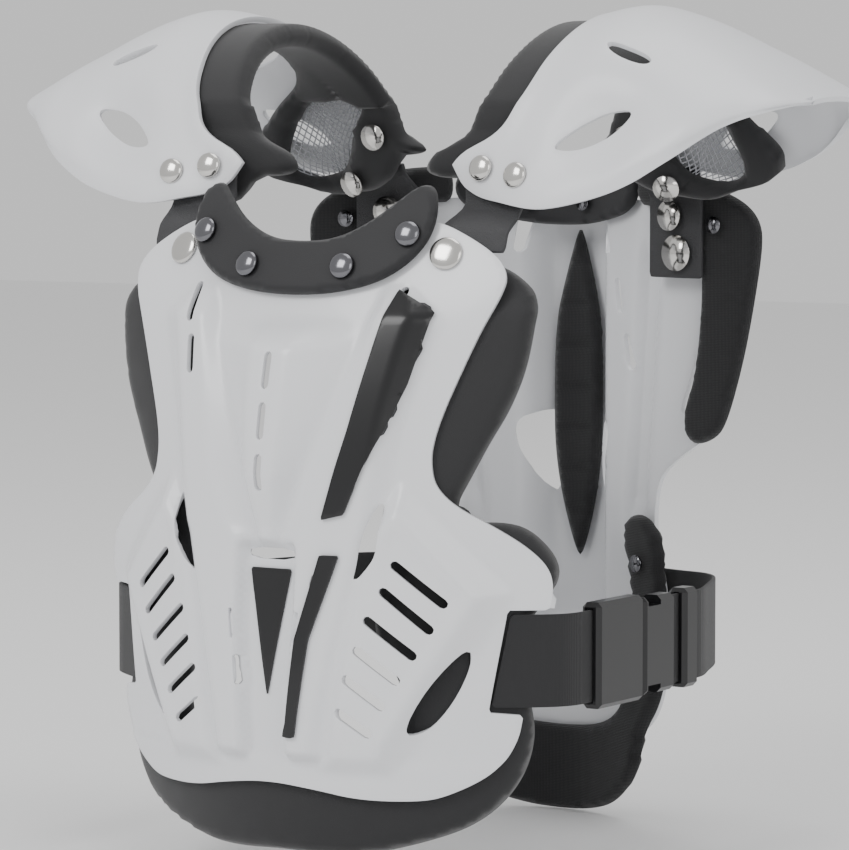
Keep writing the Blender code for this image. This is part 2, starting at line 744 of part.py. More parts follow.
def strip(low_u, high_u, low_v, high_v, along_u, along_v):
    """Rectangle whose sides are divided into equal lengths."""
    u = np.linspace(low_u, high_u, along_u + 1)
    v = np.linspace(low_v, high_v, along_v + 1)
    points = [(a, low_v) for a in u] + [(high_u, b) for b in v[1:]]
    points += [(a, high_v) for a in u[-2::-1]]
    points += [(low_u, b) for b in v[-2:0:-1]]
    return points


def plate_point(side, share):
    return side * PLATE_HALF, PLATE_TOP - share * PLATE_HEIGHT


def both_sides(slots):
    """Slots on the right half and their mirror images."""
    return slots + [[(-x, z) for x, z in reversed(one)] for one in slots]


def plate_slots():
    """Every opening of the chest plate."""
    side_slots = []
    for side, share in ((0.462, 0.122), (0.428, 0.212)):
        top = plate_point(side, share)
        low = plate_point(side - 0.012, share + 0.054)
        side_slots.append(slot(top, low, SLOT_WIDTH))
    for side, share in ((0.148, 0.679), (0.120, 0.760)):
        top = plate_point(side, share)
        low = plate_point(side - 0.010, share + 0.045)
        side_slots.append(slot(top, low, 0.6 * SLOT_WIDTH, 2))
    louvres = (
        ((0.515, 0.590), (0.680, 0.655)), ((0.475, 0.636), (0.635, 0.700)),
        ((0.420, 0.686), (0.580, 0.745)), ((0.385, 0.738), (0.525, 0.788)),
        ((0.345, 0.788), (0.475, 0.833)), ((0.317, 0.846), (0.425, 0.881)),
    )
    for start, end in louvres:
        side_slots.append(
            slot(plate_point(*start), plate_point(*end), LOUVRE_WIDTH, 2)
        )
    waist_gap = (
        (0.452, 0.470), (0.462, 0.520), (0.448, 0.580), (0.350, 0.625),
        (0.365, 0.600), (0.385, 0.545),
    )
    crescent = (
        (0.752, 0.725), (0.748, 0.765), (0.690, 0.830), (0.605, 0.880),
        (0.530, 0.888), (0.625, 0.800),
    )
    for outline in (waist_gap, crescent):
        side_slots.append([plate_point(*p) for p in outline])
    centre = []
    for share in (0.235, 0.322, 0.411):
        centre.append(slot(
            plate_point(0.0, share), plate_point(0.0, share + 0.050),
            SLOT_WIDTH,
        ))
    centre.append([
        plate_point(*p) for p in
        ((-0.100, 0.570), (-0.100, 0.590), (0.100, 0.590), (0.100, 0.570))
    ])
    return both_sides(side_slots) + centre


def relief_lines():
    """Crease lines of the relief, kept as edges of the facets."""
    lines = []
    for column in (1, 2, 3, 4, 5):
        upper = [r for r in RELIEF_ROWS if 0.12 < r[0] < 0.56]
        lower = [r for r in RELIEF_ROWS if 0.56 < r[0] < 0.93]
        if column in (1, 2):
            upper = [r for r in upper if r[0] > 0.16]
        chains = [upper, lower] if column not in (2,) else [upper]
        if column == 5:
            chains = [upper[:4]]
        for rows in chains:
            line = [plate_point(r[column], r[0]) for r in rows]
            lines.append(line)
    ridge = [plate_point(*p) for p in LOBE_PANEL[1:4]]
    lines.append([
        plate_point(*p) for p in ((0.54, 0.535), (0.765, 0.645), (0.46, 0.90))
    ])
    lines.append([(x + 0.010, z + 0.006) for x, z in ridge[:2]])
    return lines + [[(-x, z) for x, z in line] for line in lines]


def build_front(group):
    """Chest plate, its trim strips and label field, foam frame and collar."""
    outline = loop_of(PLATE_EDGE, PLATE_HALF, PLATE_HEIGHT, PLATE_TOP,
                      PLATE_SHARP)
    fields = (
        ("trim_strip_upper", 0.0016,
         ((0.445, 0.122), (0.590, 0.160), (0.520, 0.280), (0.330, 0.505),
          (0.242, 0.515), (0.330, 0.360))),
        ("trim_strip_lower", 0.0016,
         ((0.240, 0.575), (0.315, 0.575), (0.205, 0.722), (0.152, 0.893),
          (0.112, 0.893), (0.150, 0.722))),
        ("label_field", 0.0008,
         ((0.090, 0.605), (0.0, 0.828), (-0.090, 0.605))),
    )
    loops = [[plate_point(*p) for p in points] for _, _, points in fields]
    plan = dict(
        holes=plate_slots(),
        creases=relief_lines() + [loop + [loop[0]] for loop in loops],
    )
    sheet("chest_plate", chest_plate_surface, outline, PLATE_WALL, WHITE,
          group, **plan)
    for (name, wall, _), loop in zip(fields, loops):
        sheet(name, chest_plate_surface, outline, wall, BLACK_PLASTIC, group,
              lift=wall + GAP, within=loop, **plan)
    outline = loop_of(LINER_EDGE, PLATE_HALF, PLATE_HEIGHT, PLATE_TOP)
    opening = loop_of(LINER_OPENING, PLATE_HALF, PLATE_HEIGHT, PLATE_TOP)
    sheet("chest_liner", liner_surface, outline, LINER_WALL, FOAM, group,
          holes=[opening], step=1.25 * CHEST_STEP)
    outline = loop_of(COLLAR_EDGE, PLATE_HALF, PLATE_HEIGHT, PLATE_TOP)
    sheet("collar_front", chest_base, outline, COLLAR_WALL, FOAM, group,
          lift=COLLAR_WALL + 2 * GAP)


def build_back(group):
    """Back plate with its spine pad, side pads, hip pad and collar."""
    outline = loop_of(BACK_EDGE, BACK_HALF, BACK_HEIGHT, BACK_TOP)
    holes = []
    for side, share in ((0.215, 0.055), (0.300, 0.162), (0.362, 0.262)):
        start = (side * BACK_HALF, BACK_TOP - share * BACK_HEIGHT)
        end = ((side + 0.02) * BACK_HALF, start[1] - 0.050 * BACK_HEIGHT)
        holes.append(slot(start, end, SLOT_WIDTH))
    window = ((0.15, 0.40), (0.24, 0.42), (0.24, 0.46), (0.17, 0.56),
              (0.10, 0.55), (0.10, 0.43))
    holes.append(sized(window, BACK_HALF, BACK_HEIGHT, BACK_TOP))
    creases = []
    top = BACK_TOP - 0.03 * BACK_HEIGHT
    low = BACK_TOP - 0.80 * BACK_HEIGHT
    for x in (CHANNEL_HALF, CHANNEL_HALF + CHANNEL_SLOPE):
        creases.append([(x, top), (x, low)])
        creases.append([(-x, top), (-x, low)])
    sheet("back_plate", back_plate_surface, outline, PLATE_WALL, WHITE, group,
          holes=both_sides(holes), creases=creases, step=BACK_STEP,
          stretch=UPRIGHT)
    spine = (
        (0.10, 0.010), (0.65, 0.12), (0.95, 0.20), (1.00, 0.36), (0.95, 0.46),
        (0.65, 0.56), (0.12, 0.66),
    )
    half = [(a * SPINE_PAD_HALF, BACK_TOP - 0.06 * BACK_HEIGHT
             - b * 0.93 * BACK_HEIGHT) for a, b in spine]
    outline = [(-x, z) for x, z in reversed(half)] + half
    sheet("spine_pad", channel_floor, outline, SPINE_PAD_WALL, FOAM, group,
          step=BACK_STEP, stretch=UPRIGHT)
    outline = loop_of(COLLAR_BACK_EDGE, BACK_HALF, BACK_HEIGHT, BACK_TOP)
    sheet("collar_back", back_base, outline, SIDE_PAD_WALL, FOAM, group,
          lift=-2 * GAP, step=BACK_STEP, stretch=UPRIGHT)
    outline = closed(sized(SIDE_PAD_EDGE, -BACK_HALF, BACK_HEIGHT, BACK_TOP))
    for name, mirrored in (("back_side_pad_left", False),
                           ("back_side_pad_right", True)):
        sheet(name, back_base, outline[::-1], SIDE_PAD_WALL, FOAM, group,
              lift=-2 * GAP, step=BACK_STEP, stretch=UPRIGHT,
              mirrored=mirrored)
    outline = loop_of(HIP_PAD_EDGE, BACK_HALF, BACK_HEIGHT, BACK_TOP)
    sheet("hip_pad", back_base, outline, HIP_PAD_WALL, FOAM, group,
          lift=-2 * GAP, step=BACK_STEP, stretch=UPRIGHT)


def pad_outline():
    """Ring of the shoulder pad: reach from the cap's edge, and degrees."""
    return [
        (-0.020, -97.0), (-PAD_NECK * 0.9, -88.0), (-PAD_NECK, -76.0),
        (-PAD_NECK, -52.0), (-PAD_NECK, -26.0), (-PAD_NECK, 0.0),
        (-PAD_NECK, 26.0), (-PAD_NECK, 52.0), (-PAD_NECK, 72.0),
        (-PAD_NECK * 0.8, 84.0), (-0.012, 88.0), (0.020, 89.0), (0.060, 88.0),
        (0.084, 82.0), (0.078, 72.0), (0.052, 60.0), (0.022, 46.0),
        (0.010, 30.0), (0.008, 0.0), (0.008, -26.0), (0.008, -52.0),
        (0.010, -76.0), (0.022, -88.0), (0.014, -97.0),
    ]


MESH_WINDOW = (
    (0.020, 54.0), (-0.008, 62.0), (-0.004, 70.0), (0.022, 81.0),
    (0.058, 80.0), (0.052, 70.0),
)


def build_shoulders(group):
    """Caps, pads, mesh panels and the straps that carry them."""
    reach = CAP_REACH
    angles = list(np.linspace(-90.0, CAP_REAR_END, 13))
    for side, mirrored in (("left", False), ("right", True)):
        outline = [(0.0, a) for a in angles]
        tip = [(reach - float(cap_neck(np.array(a))), a) for a in angles]
        outline = tip[::-1] + outline
        outline = [(x, float(y)) for x, y in outline]
        holes = []
        for sign in (-1.0, 1.0):
            for shape in (CAP_EYE, CAP_SLIT):
                loop = []
                for share, angle in shape:
                    length = reach - float(cap_neck(np.array(angle)))
                    loop.append((share * length, sign * angle))
                holes.append(loop)
        sheet("shoulder_cap_" + side, cap_surface, outline[::-1], CAP_WALL,
              WHITE, group, holes=holes, step=CAP_STEP, stretch=TURN,
              mirrored=mirrored)
        sheet("shoulder_pad_" + side, pad_surface, pad_outline(), PAD_WALL,
              FOAM, group, holes=[list(MESH_WINDOW)], step=CAP_STEP,
              stretch=TURN, mirrored=mirrored)
        sheet("shoulder_mesh_" + side, pad_surface,
              mesh_panel(), MESH_WALL, WEB, group, lift=-0.45 * PAD_WALL,
              step=CAP_STEP, stretch=TURN, mirrored=mirrored)


def mesh_panel():
    """The mesh fills its window up to a small gap."""
    middle = np.mean(MESH_WINDOW, axis=0)
    span = np.max(np.abs(np.array(MESH_WINDOW) - middle), axis=0)
    shrink = 1.0 - 4.0 * GAP / span[0]
    return [tuple(middle + (np.array(p) - middle) * shrink)
            for p in MESH_WINDOW]


def build_shoulder_straps(group):
    """Straps and eyelets between the shells and the caps' tabs."""
    middle = CAP_TAB + 0.026
    top = CAP_TOP - CAP_DROP + 0.020
    width = STRAP_WIDTH / 2
    for side, mirrored in (("left", False), ("right", True)):
        outline = strip(middle - width, middle + width,
                        PLATE_TOP - 0.017, top, 3, 6)
        sheet("front_strap_" + side, front_strap_surface, outline, STRAP_WALL,
              GRAIN, group, step=0.6 * CHEST_STEP, mirrored=mirrored)
        middle_rear = middle + 0.004
        outline = strip(-middle_rear - width, -middle_rear + width,
                        BACK_TOP - 0.048, top, 3, 6)
        sheet("rear_strap_" + side, rear_strap_surface, outline, STRAP_WALL,
              GRAIN, group, step=0.6 * CHEST_STEP, mirrored=mirrored)


def build_waist(group, cutters):
    """Webbing on both sides with its buckle and slider."""
    rows = waist_rows()
    runs = [row[0] for row in rows]
    low = WAIST_HEIGHT - WEB_WIDTH / 2
    high = WAIST_HEIGHT + WEB_WIDTH / 2
    thick = BUCKLE_THICK / 2
    female = BUCKLE_START + FEMALE_LENGTH
    male = female + GAP + MALE_LENGTH
    slider = male + SLIDER_SPACE
    front_end = runs[6] + 0.011
    rear_start = runs[9] + (male - 0.006) - (BUCKLE_START + 0.020)
    for side, mirrored in (("left", False), ("right", True)):
        sign = -1.0 if mirrored else 1.0
        outline = strip(0.0, 1.0, low, high, 10, 1)
        starts = np.interp([(0.80 * PLATE_HALF + 2 * GAP),
                            (0.86 * PLATE_HALF + 2 * GAP)],
                           [row[1] for row in rows[:4]], runs[:4])
        outline = [
            (a * front_end + (1.0 - a) * np.interp(b, (low, high), starts), b)
            for a, b in outline
        ]
        sheet("waist_strap_front_" + side, waist_surface, outline, WEB_WALL,
              WEB, group, mirrored=mirrored)
        outline = strip(rear_start, runs[-1], low, high, 12, 1)
        sheet("waist_strap_rear_" + side, waist_surface, outline, WEB_WALL,
              WEB, group, mirrored=mirrored)
        bodies = (
            ("buckle_female_", BUCKLE_START, female, BUCKLE_HEIGHT),
            ("buckle_male_", female + GAP, male, BUCKLE_HEIGHT - 0.004),
            ("strap_slider_", slider, slider + SLIDER_LENGTH,
             BUCKLE_HEIGHT - 0.002),
        )
        made = []
        for name, start, end, height in bodies:
            made.append(box(
                name + side,
                (sign * WAIST_OUT - thick, start, WAIST_HEIGHT - height / 2),
                (sign * WAIST_OUT + thick, end, WAIST_HEIGHT + height / 2),
                BLACK_PLASTIC, group, bevel=0.0025,
            ))
        room = WEB_WALL / 2 + 0.0008
        wide = WEB_WIDTH / 2 + 0.0008
        slots = (
            (made[0], BUCKLE_START - 0.005, BUCKLE_START + 0.0085),
            (made[1], male - 0.0085, male + 0.005),
            (made[2], slider - 0.005, slider + SLIDER_LENGTH + 0.005),
        )
        for target, start, end in slots:
            cut(target, target.name + "_slot",
                (sign * WAIST_OUT - room, start, WAIST_HEIGHT - wide),
                (sign * WAIST_OUT + room, end, WAIST_HEIGHT + wide), cutters)
        for end, sense in ((WAIST_HEIGHT - BUCKLE_HEIGHT / 2, -1.0),
                           (WAIST_HEIGHT + BUCKLE_HEIGHT / 2, 1.0)):
            inner = end - sense * 0.007
            cut(made[1], made[1].name + ("_low" if sense < 0 else "_high"),
                (sign * WAIST_OUT - 0.02, female + 0.004, min(inner, end)
                 - (0.01 if sense < 0 else 0.0)),
                (sign * WAIST_OUT + 0.02, female + 0.018, max(inner, end)
                 + (0.01 if sense > 0 else 0.0)), cutters)


def settle(target, start, axis):
    """Where a line along the axis meets a piece, and the facing there."""
    look = bpy.context.evaluated_depsgraph_get()
    body = target.evaluated_get(look)
    axis = Vector(axis).normalized()
    found, place, normal, _ = body.ray_cast(
        Vector(start) + axis * 0.03, -axis, distance=0.08
    )
    if not found:
        raise ValueError("no seat on " + target.name)
    return place + normal * SEAT, normal


def build_fasteners(group):
    """Heads of the rivets and screws, each on the piece that carries it."""
    bpy.context.view_layer.update()
    dome = dome_profile(DOME_RADIUS, DOME_HEIGHT)
    small = dome_profile(0.7 * DOME_RADIUS, 0.7 * DOME_HEIGHT)
    screw = dome_profile(SCREW_RADIUS, 0.75 * DOME_HEIGHT)
    disc = washer_profile(DISC_RADIUS, 0.75 * DOME_HEIGHT)
    washer = washer_profile(WASHER_RADIUS, DOME_HEIGHT)
    eyelet = (
        (EYELET_BORE, 0.0008), (EYELET_BORE + 0.001, 0.0016),
        (EYELET_RADIUS, 0.0010), (EYELET_RADIUS, 0.0),
        (EYELET_BORE, 0.0), (EYELET_BORE, 0.0008),
    )
    back = -CAP_TAB - 0.030
    heads = (
        ("cap_rivet_front_outer_", dome, STEEL, "shoulder_cap_", cap_surface,
         0.029, -82.5, 1),
        ("cap_rivet_front_inner_", dome, STEEL, "shoulder_cap_", cap_surface,
         0.010, -84.0, 1),
        ("cap_rivet_rear_outer_", dome, STEEL, "shoulder_cap_", cap_surface,
         0.023, 76.0, 1),
        ("cap_rivet_rear_inner_", dome, STEEL, "shoulder_cap_", cap_surface,
         0.008, 76.0, 1),
        ("pad_washer_inner_", washer, STEEL, "shoulder_pad_", pad_surface,
         -0.012, 76.0, -1),
        ("pad_washer_outer_", washer, STEEL, "shoulder_pad_", pad_surface,
         0.022, 83.5, -1),
        ("plate_screw_", screw, STEEL, "chest_plate", chest_plate_surface,
         *plate_point(0.589, 0.059), 1),
        ("collar_dome_outer_", dome, DARK_STEEL, "collar_front",
         chest_plate_surface, *plate_point(0.446, 0.033), 1),
        ("collar_dome_inner_", dome, DARK_STEEL, "collar_front",
         chest_plate_surface, *plate_point(0.209, 0.0894), 1),
        ("rear_disc_", disc, STEEL, "rear_strap_", rear_strap_surface,
         back + 0.001, BACK_TOP - 0.0120, -1),
        ("eyelet_", eyelet, STEEL, "rear_strap_", rear_strap_surface,
         back - 0.003, BACK_TOP - 0.0335, -1),
        ("side_rivet_", small, DARK_STEEL, "back_side_pad_", back_base,
         -0.92 * BACK_HALF, BACK_TOP - 0.052 * BACK_HEIGHT, -1),
        ("hip_rivet_", small, DARK_STEEL, "hip_pad", back_base,
         -0.53 * BACK_HALF, BACK_TOP - 0.665 * BACK_HEIGHT, -1),
        ("back_collar_rivet_", small, DARK_STEEL, "collar_back", back_base,
         -0.16 * BACK_HALF, BACK_TOP - 0.018 * BACK_HEIGHT, -1),
    )
    for name, profile, look, carrier, surface, u, v, sense in heads:
        for side, mirrored in (("left", False), ("right", True)):
            target = bpy.data.objects[
                carrier + side if carrier.endswith("_") else carrier
            ]
            place, axis = seat(surface, u, v, 0.0, mirrored)
            place, axis = settle(target, place, Vector(axis) * sense)
            turned(name + side, profile, place, axis, look, group)


def build():
    clear_scene()
    group = collection("roost_deflector")
    cutters = collection("cutters")
    build_front(group)
    build_back(group)
    build_shoulders(group)
    build_shoulder_straps(group)
    build_waist(group, cutters)
    build_fasteners(group)


build()
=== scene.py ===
import math

import bpy
import numpy as np
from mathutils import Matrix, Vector
from mathutils.geometry import delaunay_2d_cdt


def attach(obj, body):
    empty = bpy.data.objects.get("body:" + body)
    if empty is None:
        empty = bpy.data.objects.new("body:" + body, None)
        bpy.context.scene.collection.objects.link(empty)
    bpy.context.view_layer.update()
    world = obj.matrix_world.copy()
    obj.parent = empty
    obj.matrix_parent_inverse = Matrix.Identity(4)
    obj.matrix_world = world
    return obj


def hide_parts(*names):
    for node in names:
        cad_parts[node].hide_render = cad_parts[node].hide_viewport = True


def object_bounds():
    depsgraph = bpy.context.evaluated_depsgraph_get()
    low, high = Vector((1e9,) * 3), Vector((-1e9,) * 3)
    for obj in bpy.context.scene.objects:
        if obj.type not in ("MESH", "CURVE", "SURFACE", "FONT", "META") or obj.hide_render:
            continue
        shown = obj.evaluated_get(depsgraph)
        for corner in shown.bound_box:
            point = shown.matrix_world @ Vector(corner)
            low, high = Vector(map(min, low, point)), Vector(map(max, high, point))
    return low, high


# %% [markdown]
# # A roost deflector in white plastic, black foam and steel
#
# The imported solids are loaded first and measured.  Every piece of the visual
# model is then laid on the same four surfaces that the solids follow: the
# chest, the back, the shoulder arch and the path of the waist webbing.

# %% Load the frame
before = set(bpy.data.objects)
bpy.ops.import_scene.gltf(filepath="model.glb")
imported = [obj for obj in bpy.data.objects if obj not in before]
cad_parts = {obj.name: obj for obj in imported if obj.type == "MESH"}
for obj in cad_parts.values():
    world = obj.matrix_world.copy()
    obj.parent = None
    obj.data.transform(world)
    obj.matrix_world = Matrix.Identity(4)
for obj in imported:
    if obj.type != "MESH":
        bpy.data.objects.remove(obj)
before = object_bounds()
print("frame loaded", before)

# %% [markdown]
# ## Named sizes
#
# These repeat the sizes of the solids, in metres, so that both models agree.

# %% Sizes
PLATE_HALF = 0.145
PLATE_HEIGHT = 0.312
PLATE_TOP = -0.097
CHEST_DEPTH = 0.160
SIDE_SWEEP = 0.063
PLATE_WALL = 0.003
KEEL_RISE = 0.018
RIDGE_RISE = 0.009
CREASE_RISE = 0.003
LOBE_RISE = 0.008
BAND_RISE = 0.0015
LOUVRE_WIDTH = 0.0050
SLOT_WIDTH = 0.0048
BACK_DEPTH = 0.162
BACK_RISE = 0.041
BACK_SPREAD = 0.074
BACK_HALF = 0.138
BACK_HEIGHT = 0.326
BACK_TOP = -0.088
CHANNEL_DEPTH = 0.0205
CHANNEL_HALF = 0.020
CHANNEL_SLOPE = 0.012
BACK_RIDGE = 0.006
CAP_REACH = 0.258
CAP_NECK = 0.119
CAP_TAB = 0.069
CAP_TOP = 0.019
CAP_DROP = 0.110
CAP_HALF_DEPTH = 0.103
CAP_MIDDLE = 0.008
CAP_REAR = 1.12
CAP_REAR_END = 82.0
CAP_WALL = 0.003
EYE_DENT = 0.013
PAD_WALL = 0.013
PAD_NECK = 0.031
LINER_WALL = 0.013
COLLAR_WALL = 0.006
SIDE_PAD_WALL = 0.008
SPINE_PAD_WALL = 0.008
SPINE_PAD_HALF = 0.018
HIP_PAD_WALL = 0.009
STRAP_WALL = 0.003
STRAP_WIDTH = 0.039
WEB_WIDTH = 0.050
WEB_WALL = 0.002
GAP = 0.0004
WAIST_OUT = 0.150
WAIST_HEIGHT = -0.333
FEMALE_LENGTH = 0.050
MALE_LENGTH = 0.035
SLIDER_LENGTH = 0.016
BUCKLE_START = -0.071
SLIDER_SPACE = 0.011
DEGREE = 0.00175           # length of one degree of the shoulder arch
CAP_FRONT_END = -90.0
CAP_SAMPLES = 60           # points along each long edge of a cap
STRAP_PAST_TAB = 0.026     # middle of a front strap, from the cap's tab
REAR_STRAP_OUT = 0.004     # how far the rear straps lie outside the front ones
STRAP_UNDER_CAP = 0.020    # how far a strap reaches up under its cap
FRONT_STRAP_DROP = 0.017   # from the top of the front plate
REAR_STRAP_DROP = 0.048    # from the top of the back plate
NET_CELL = 0.0042
NET_THREAD = 0.0009
NET_DEPTH = 0.45           # share of the pad's wall above the net
TRIM_WALL = 0.0016
LABEL_WALL = 0.0008

CHEST_ROWS = (
    (-0.10, 0.60, 0.42), (-0.03, 0.70, 0.43), (0.06, 0.775, 0.43),
    (0.13, 0.825, 0.43), (0.26, 0.895, 0.53), (0.42, 0.95, 0.67),
    (0.61, 0.975, 0.86), (0.84, 1.00, 0.97), (0.97, 0.995, 1.00),
    (1.20, 0.985, 1.02),
)
PLATE_EDGE = (
    (0.00, 0.106), (0.21, 0.077), (0.38, 0.035), (0.48, 0.005), (0.56, 0.005),
    (0.76, 0.052), (0.835, 0.09), (0.82, 0.13), (0.77, 0.18), (0.715, 0.245),
    (0.64, 0.34), (0.615, 0.39), (0.615, 0.42), (0.63, 0.455), (0.70, 0.49),
    (0.83, 0.525), (0.93, 0.56), (0.99, 0.595), (1.00, 0.63), (0.985, 0.668),
    (0.86, 0.668), (0.80, 0.845), (0.905, 0.85), (0.89, 0.89), (0.85, 0.93),
    (0.79, 0.96), (0.67, 0.99), (0.585, 1.00), (0.37, 1.00), (0.20, 0.985),
    (0.00, 0.975),
)
LINER_EDGE = (
    (0.00, 0.115), (0.30, 0.085), (0.46, 0.035), (0.62, 0.042), (0.745, 0.058),
    (0.855, 0.08), (0.945, 0.12), (0.945, 0.18), (0.925, 0.255),
    (0.875, 0.325), (0.81, 0.38), (0.745, 0.445), (0.69, 0.495),
    (0.74, 0.522), (0.85, 0.520), (0.94, 0.532), (1.02, 0.58), (1.03, 0.62),
    (0.97, 0.662), (0.92, 0.70), (0.92, 0.79), (0.945, 0.86), (0.945, 0.90),
    (0.92, 0.95), (0.87, 0.995), (0.79, 1.035), (0.675, 1.065), (0.41, 1.10),
    (0.20, 1.105), (0.00, 1.10),
)
LINER_OPENING = (
    (0.00, 0.16), (0.28, 0.15), (0.48, 0.145), (0.55, 0.20), (0.525, 0.29),
    (0.47, 0.39), (0.43, 0.48), (0.40, 0.58), (0.40, 0.735), (0.50, 0.785),
    (0.53, 0.865), (0.47, 0.925), (0.20, 0.935), (0.00, 0.93),
)
COLLAR_EDGE = (
    (0.00, 0.045), (0.14, 0.040), (0.27, 0.012), (0.38, -0.030),
    (0.445, -0.055), (0.515, -0.045), (0.545, 0.010), (0.50, 0.065),
    (0.38, 0.110), (0.20, 0.132), (0.00, 0.138),
)
BACK_EDGE = (
    (0.00, 0.015), (0.35, 0.010), (0.62, 0.016), (0.80, 0.020), (0.94, 0.025),
    (1.00, 0.060), (0.93, 0.105), (0.845, 0.145), (0.81, 0.25), (0.745, 0.34),
    (0.69, 0.39), (0.75, 0.40), (0.84, 0.39), (0.865, 0.425), (0.78, 0.448),
    (0.66, 0.48), (0.59, 0.505), (0.56, 0.535), (0.545, 0.60), (0.58, 0.665),
    (0.62, 0.73), (0.62, 0.87), (0.565, 0.945), (0.45, 0.985), (0.22, 1.00),
    (0.00, 1.005),
)
COLLAR_BACK_EDGE = (
    (0.00, -0.020), (0.22, -0.030), (0.47, -0.045), (0.47, 0.030),
    (0.19, 0.058), (0.00, 0.062),
)
SIDE_PAD_EDGE = (
    (0.478, -0.042), (0.60, -0.045), (0.77, -0.034), (0.91, -0.012),
    (1.04, 0.010), (1.115, 0.042), (1.13, 0.085), (1.085, 0.20), (1.035, 0.30),
    (0.955, 0.41), (0.89, 0.435), (0.80, 0.445), (0.745, 0.425), (0.745, 0.38),
    (0.80, 0.325), (0.832, 0.205), (0.832, 0.13), (0.84, 0.075), (0.70, 0.052),
    (0.565, 0.020), (0.478, 0.022),
)
HIP_PAD_EDGE = (
    (0.00, 0.985), (0.24, 0.975), (0.37, 0.94), (0.45, 0.86), (0.46, 0.72),
    (0.40, 0.63), (0.40, 0.59), (0.50, 0.575), (0.585, 0.59), (0.64, 0.63),
    (0.645, 0.70), (0.655, 0.78), (0.65, 0.90), (0.52, 0.98), (0.50, 1.03),
    (0.45, 1.07), (0.33, 1.115), (0.17, 1.135), (0.00, 1.140),
)
SPINE_EDGE = (
    (0.10, 0.010), (0.65, 0.12), (0.95, 0.20), (1.00, 0.36), (0.95, 0.46),
    (0.65, 0.56), (0.12, 0.66),
)
CAP_ROWS = (
    (0.00, 0.875, 0.036, 0.790), (0.04, 0.895, 0.025, 0.885),
    (0.08, 0.915, 0.014, 0.927), (0.19, 0.970, 0.000, 0.973),
    (0.32, 1.000, 0.036, 1.000), (0.45, 0.970, 0.095, 0.964),
    (0.59, 0.922, 0.177, 0.882), (0.71, 0.854, 0.250, 0.755),
    (0.83, 0.690, 0.332, 0.600), (0.945, 0.495, 0.418, 0.518),
    (1.00, 0.290, 0.455, 0.482),
)
NECK_ROWS = (
    (0.0, 1.00), (20.0, 1.00), (45.0, 0.90), (65.0, 0.74), (80.0, 0.44),
    (85.0, 0.16), (90.0, 0.00), (110.0, -0.05),
)
CAP_EYE = (
    (0.19, 74.0), (0.26, 66.0), (0.34, 60.5), (0.46, 59.0), (0.415, 67.0),
    (0.337, 71.5), (0.26, 74.0),
)
CAP_SLIT = ((0.214, 34.0), (0.245, 39.0), (0.43, 42.0), (0.435, 36.5))
MESH_WINDOW = (
    (0.020, 54.0), (-0.008, 62.0), (-0.004, 70.0), (0.022, 81.0),
    (0.058, 80.0), (0.052, 70.0),
)
# Height share, half width shares of keel, crease, ridge and valley, and the
# shares of their rises that keel and ridge have there.
RELIEF_ROWS = (
    (-0.10, 0.10, 0.40, 0.42, 0.55, 0.66, 0.0, 0.0),
    (0.11, 0.10, 0.37, 0.41, 0.46, 0.48, 0.0, 0.0),
    (0.17, 0.10, 0.34, 0.39, 0.52, 0.62, 0.0, 1.0),
    (0.18, 0.09, 0.33, 0.385, 0.51, 0.62, 0.1, 1.0),
    (0.22, 0.080, 0.30, 0.37, 0.49, 0.59, 1.0, 1.0),
    (0.34, 0.075, 0.21, 0.32, 0.44, 0.51, 1.0, 1.0),
    (0.44, 0.060, 0.13, 0.28, 0.41, 0.47, 1.0, 1.0),
    (0.53, 0.030, 0.07, 0.19, 0.38, 0.45, 0.5, 1.0),
    (0.555, 0.020, 0.05, 0.13, 0.36, 0.43, 0.5, 1.0),
    (0.565, 0.105, 0.115, 0.130, 0.36, 0.42, 0.0, 1.0),
    (0.70, 0.100, 0.110, 0.125, 0.29, 0.35, 0.0, 1.0),
    (0.86, 0.080, 0.090, 0.105, 0.21, 0.29, 0.0, 1.0),
    (0.925, 0.075, 0.085, 0.100, 0.19, 0.27, 0.0, 1.0),
    (0.935, 0.075, 0.085, 0.100, 0.19, 0.27, 0.0, 0.1),
    (1.20, 0.075, 0.085, 0.100, 0.19, 0.27, 0.0, 0.1),
)
LOBE_PANEL = (
    (0.44, 0.545), (0.52, 0.50), (0.79, 0.645), (0.45, 0.925), (0.29, 0.925),
    (0.36, 0.70),
)
print("plate", PLATE_HEIGHT, "back", BACK_HEIGHT, "cap reach", CAP_REACH)

# %% [markdown]
# ## The four surfaces
#
# Each surface is a function of two whole arrays.  The chest is a curve of
# depth down the body plus a parabola across it, the back a bell curve across
# the spine, the arch a run of half ellipses from the neck out to the tip.


# %% Surfaces
def table(rows, column, at):
    """Cubic through a column of a table, flat ends, read at an array."""
    x = np.array([row[0] for row in rows])
    y = np.array([row[column] for row in rows])
    slope = np.gradient(y, x)
    at = np.clip(at, x[0], x[-1])
    i = np.clip(np.searchsorted(x, at, side="right") - 1, 0, len(x) - 2)
    span = x[i + 1] - x[i]
    t = (at - x[i]) / span
    return (
        (2 * t**3 - 3 * t**2 + 1) * y[i]
        + (t**3 - 2 * t**2 + t) * span * slope[i]
        + (3 * t**2 - 2 * t**3) * y[i + 1]
        + (t**3 - t**2) * span * slope[i + 1]
    )


def row_value(rows, column, at):
    return np.interp(at, [r[0] for r in rows], [r[column] for r in rows])


def ramp(value, low, high):
    """0 below low, 1 above high, straight in between."""
    return np.clip((value - low) / (high - low), 0.0, 1.0)


def ease(value, low, high):
    """0 below low, 1 above high, smooth in between."""
    t = ramp(value, low, high)
    return t * t * (3.0 - 2.0 * t)


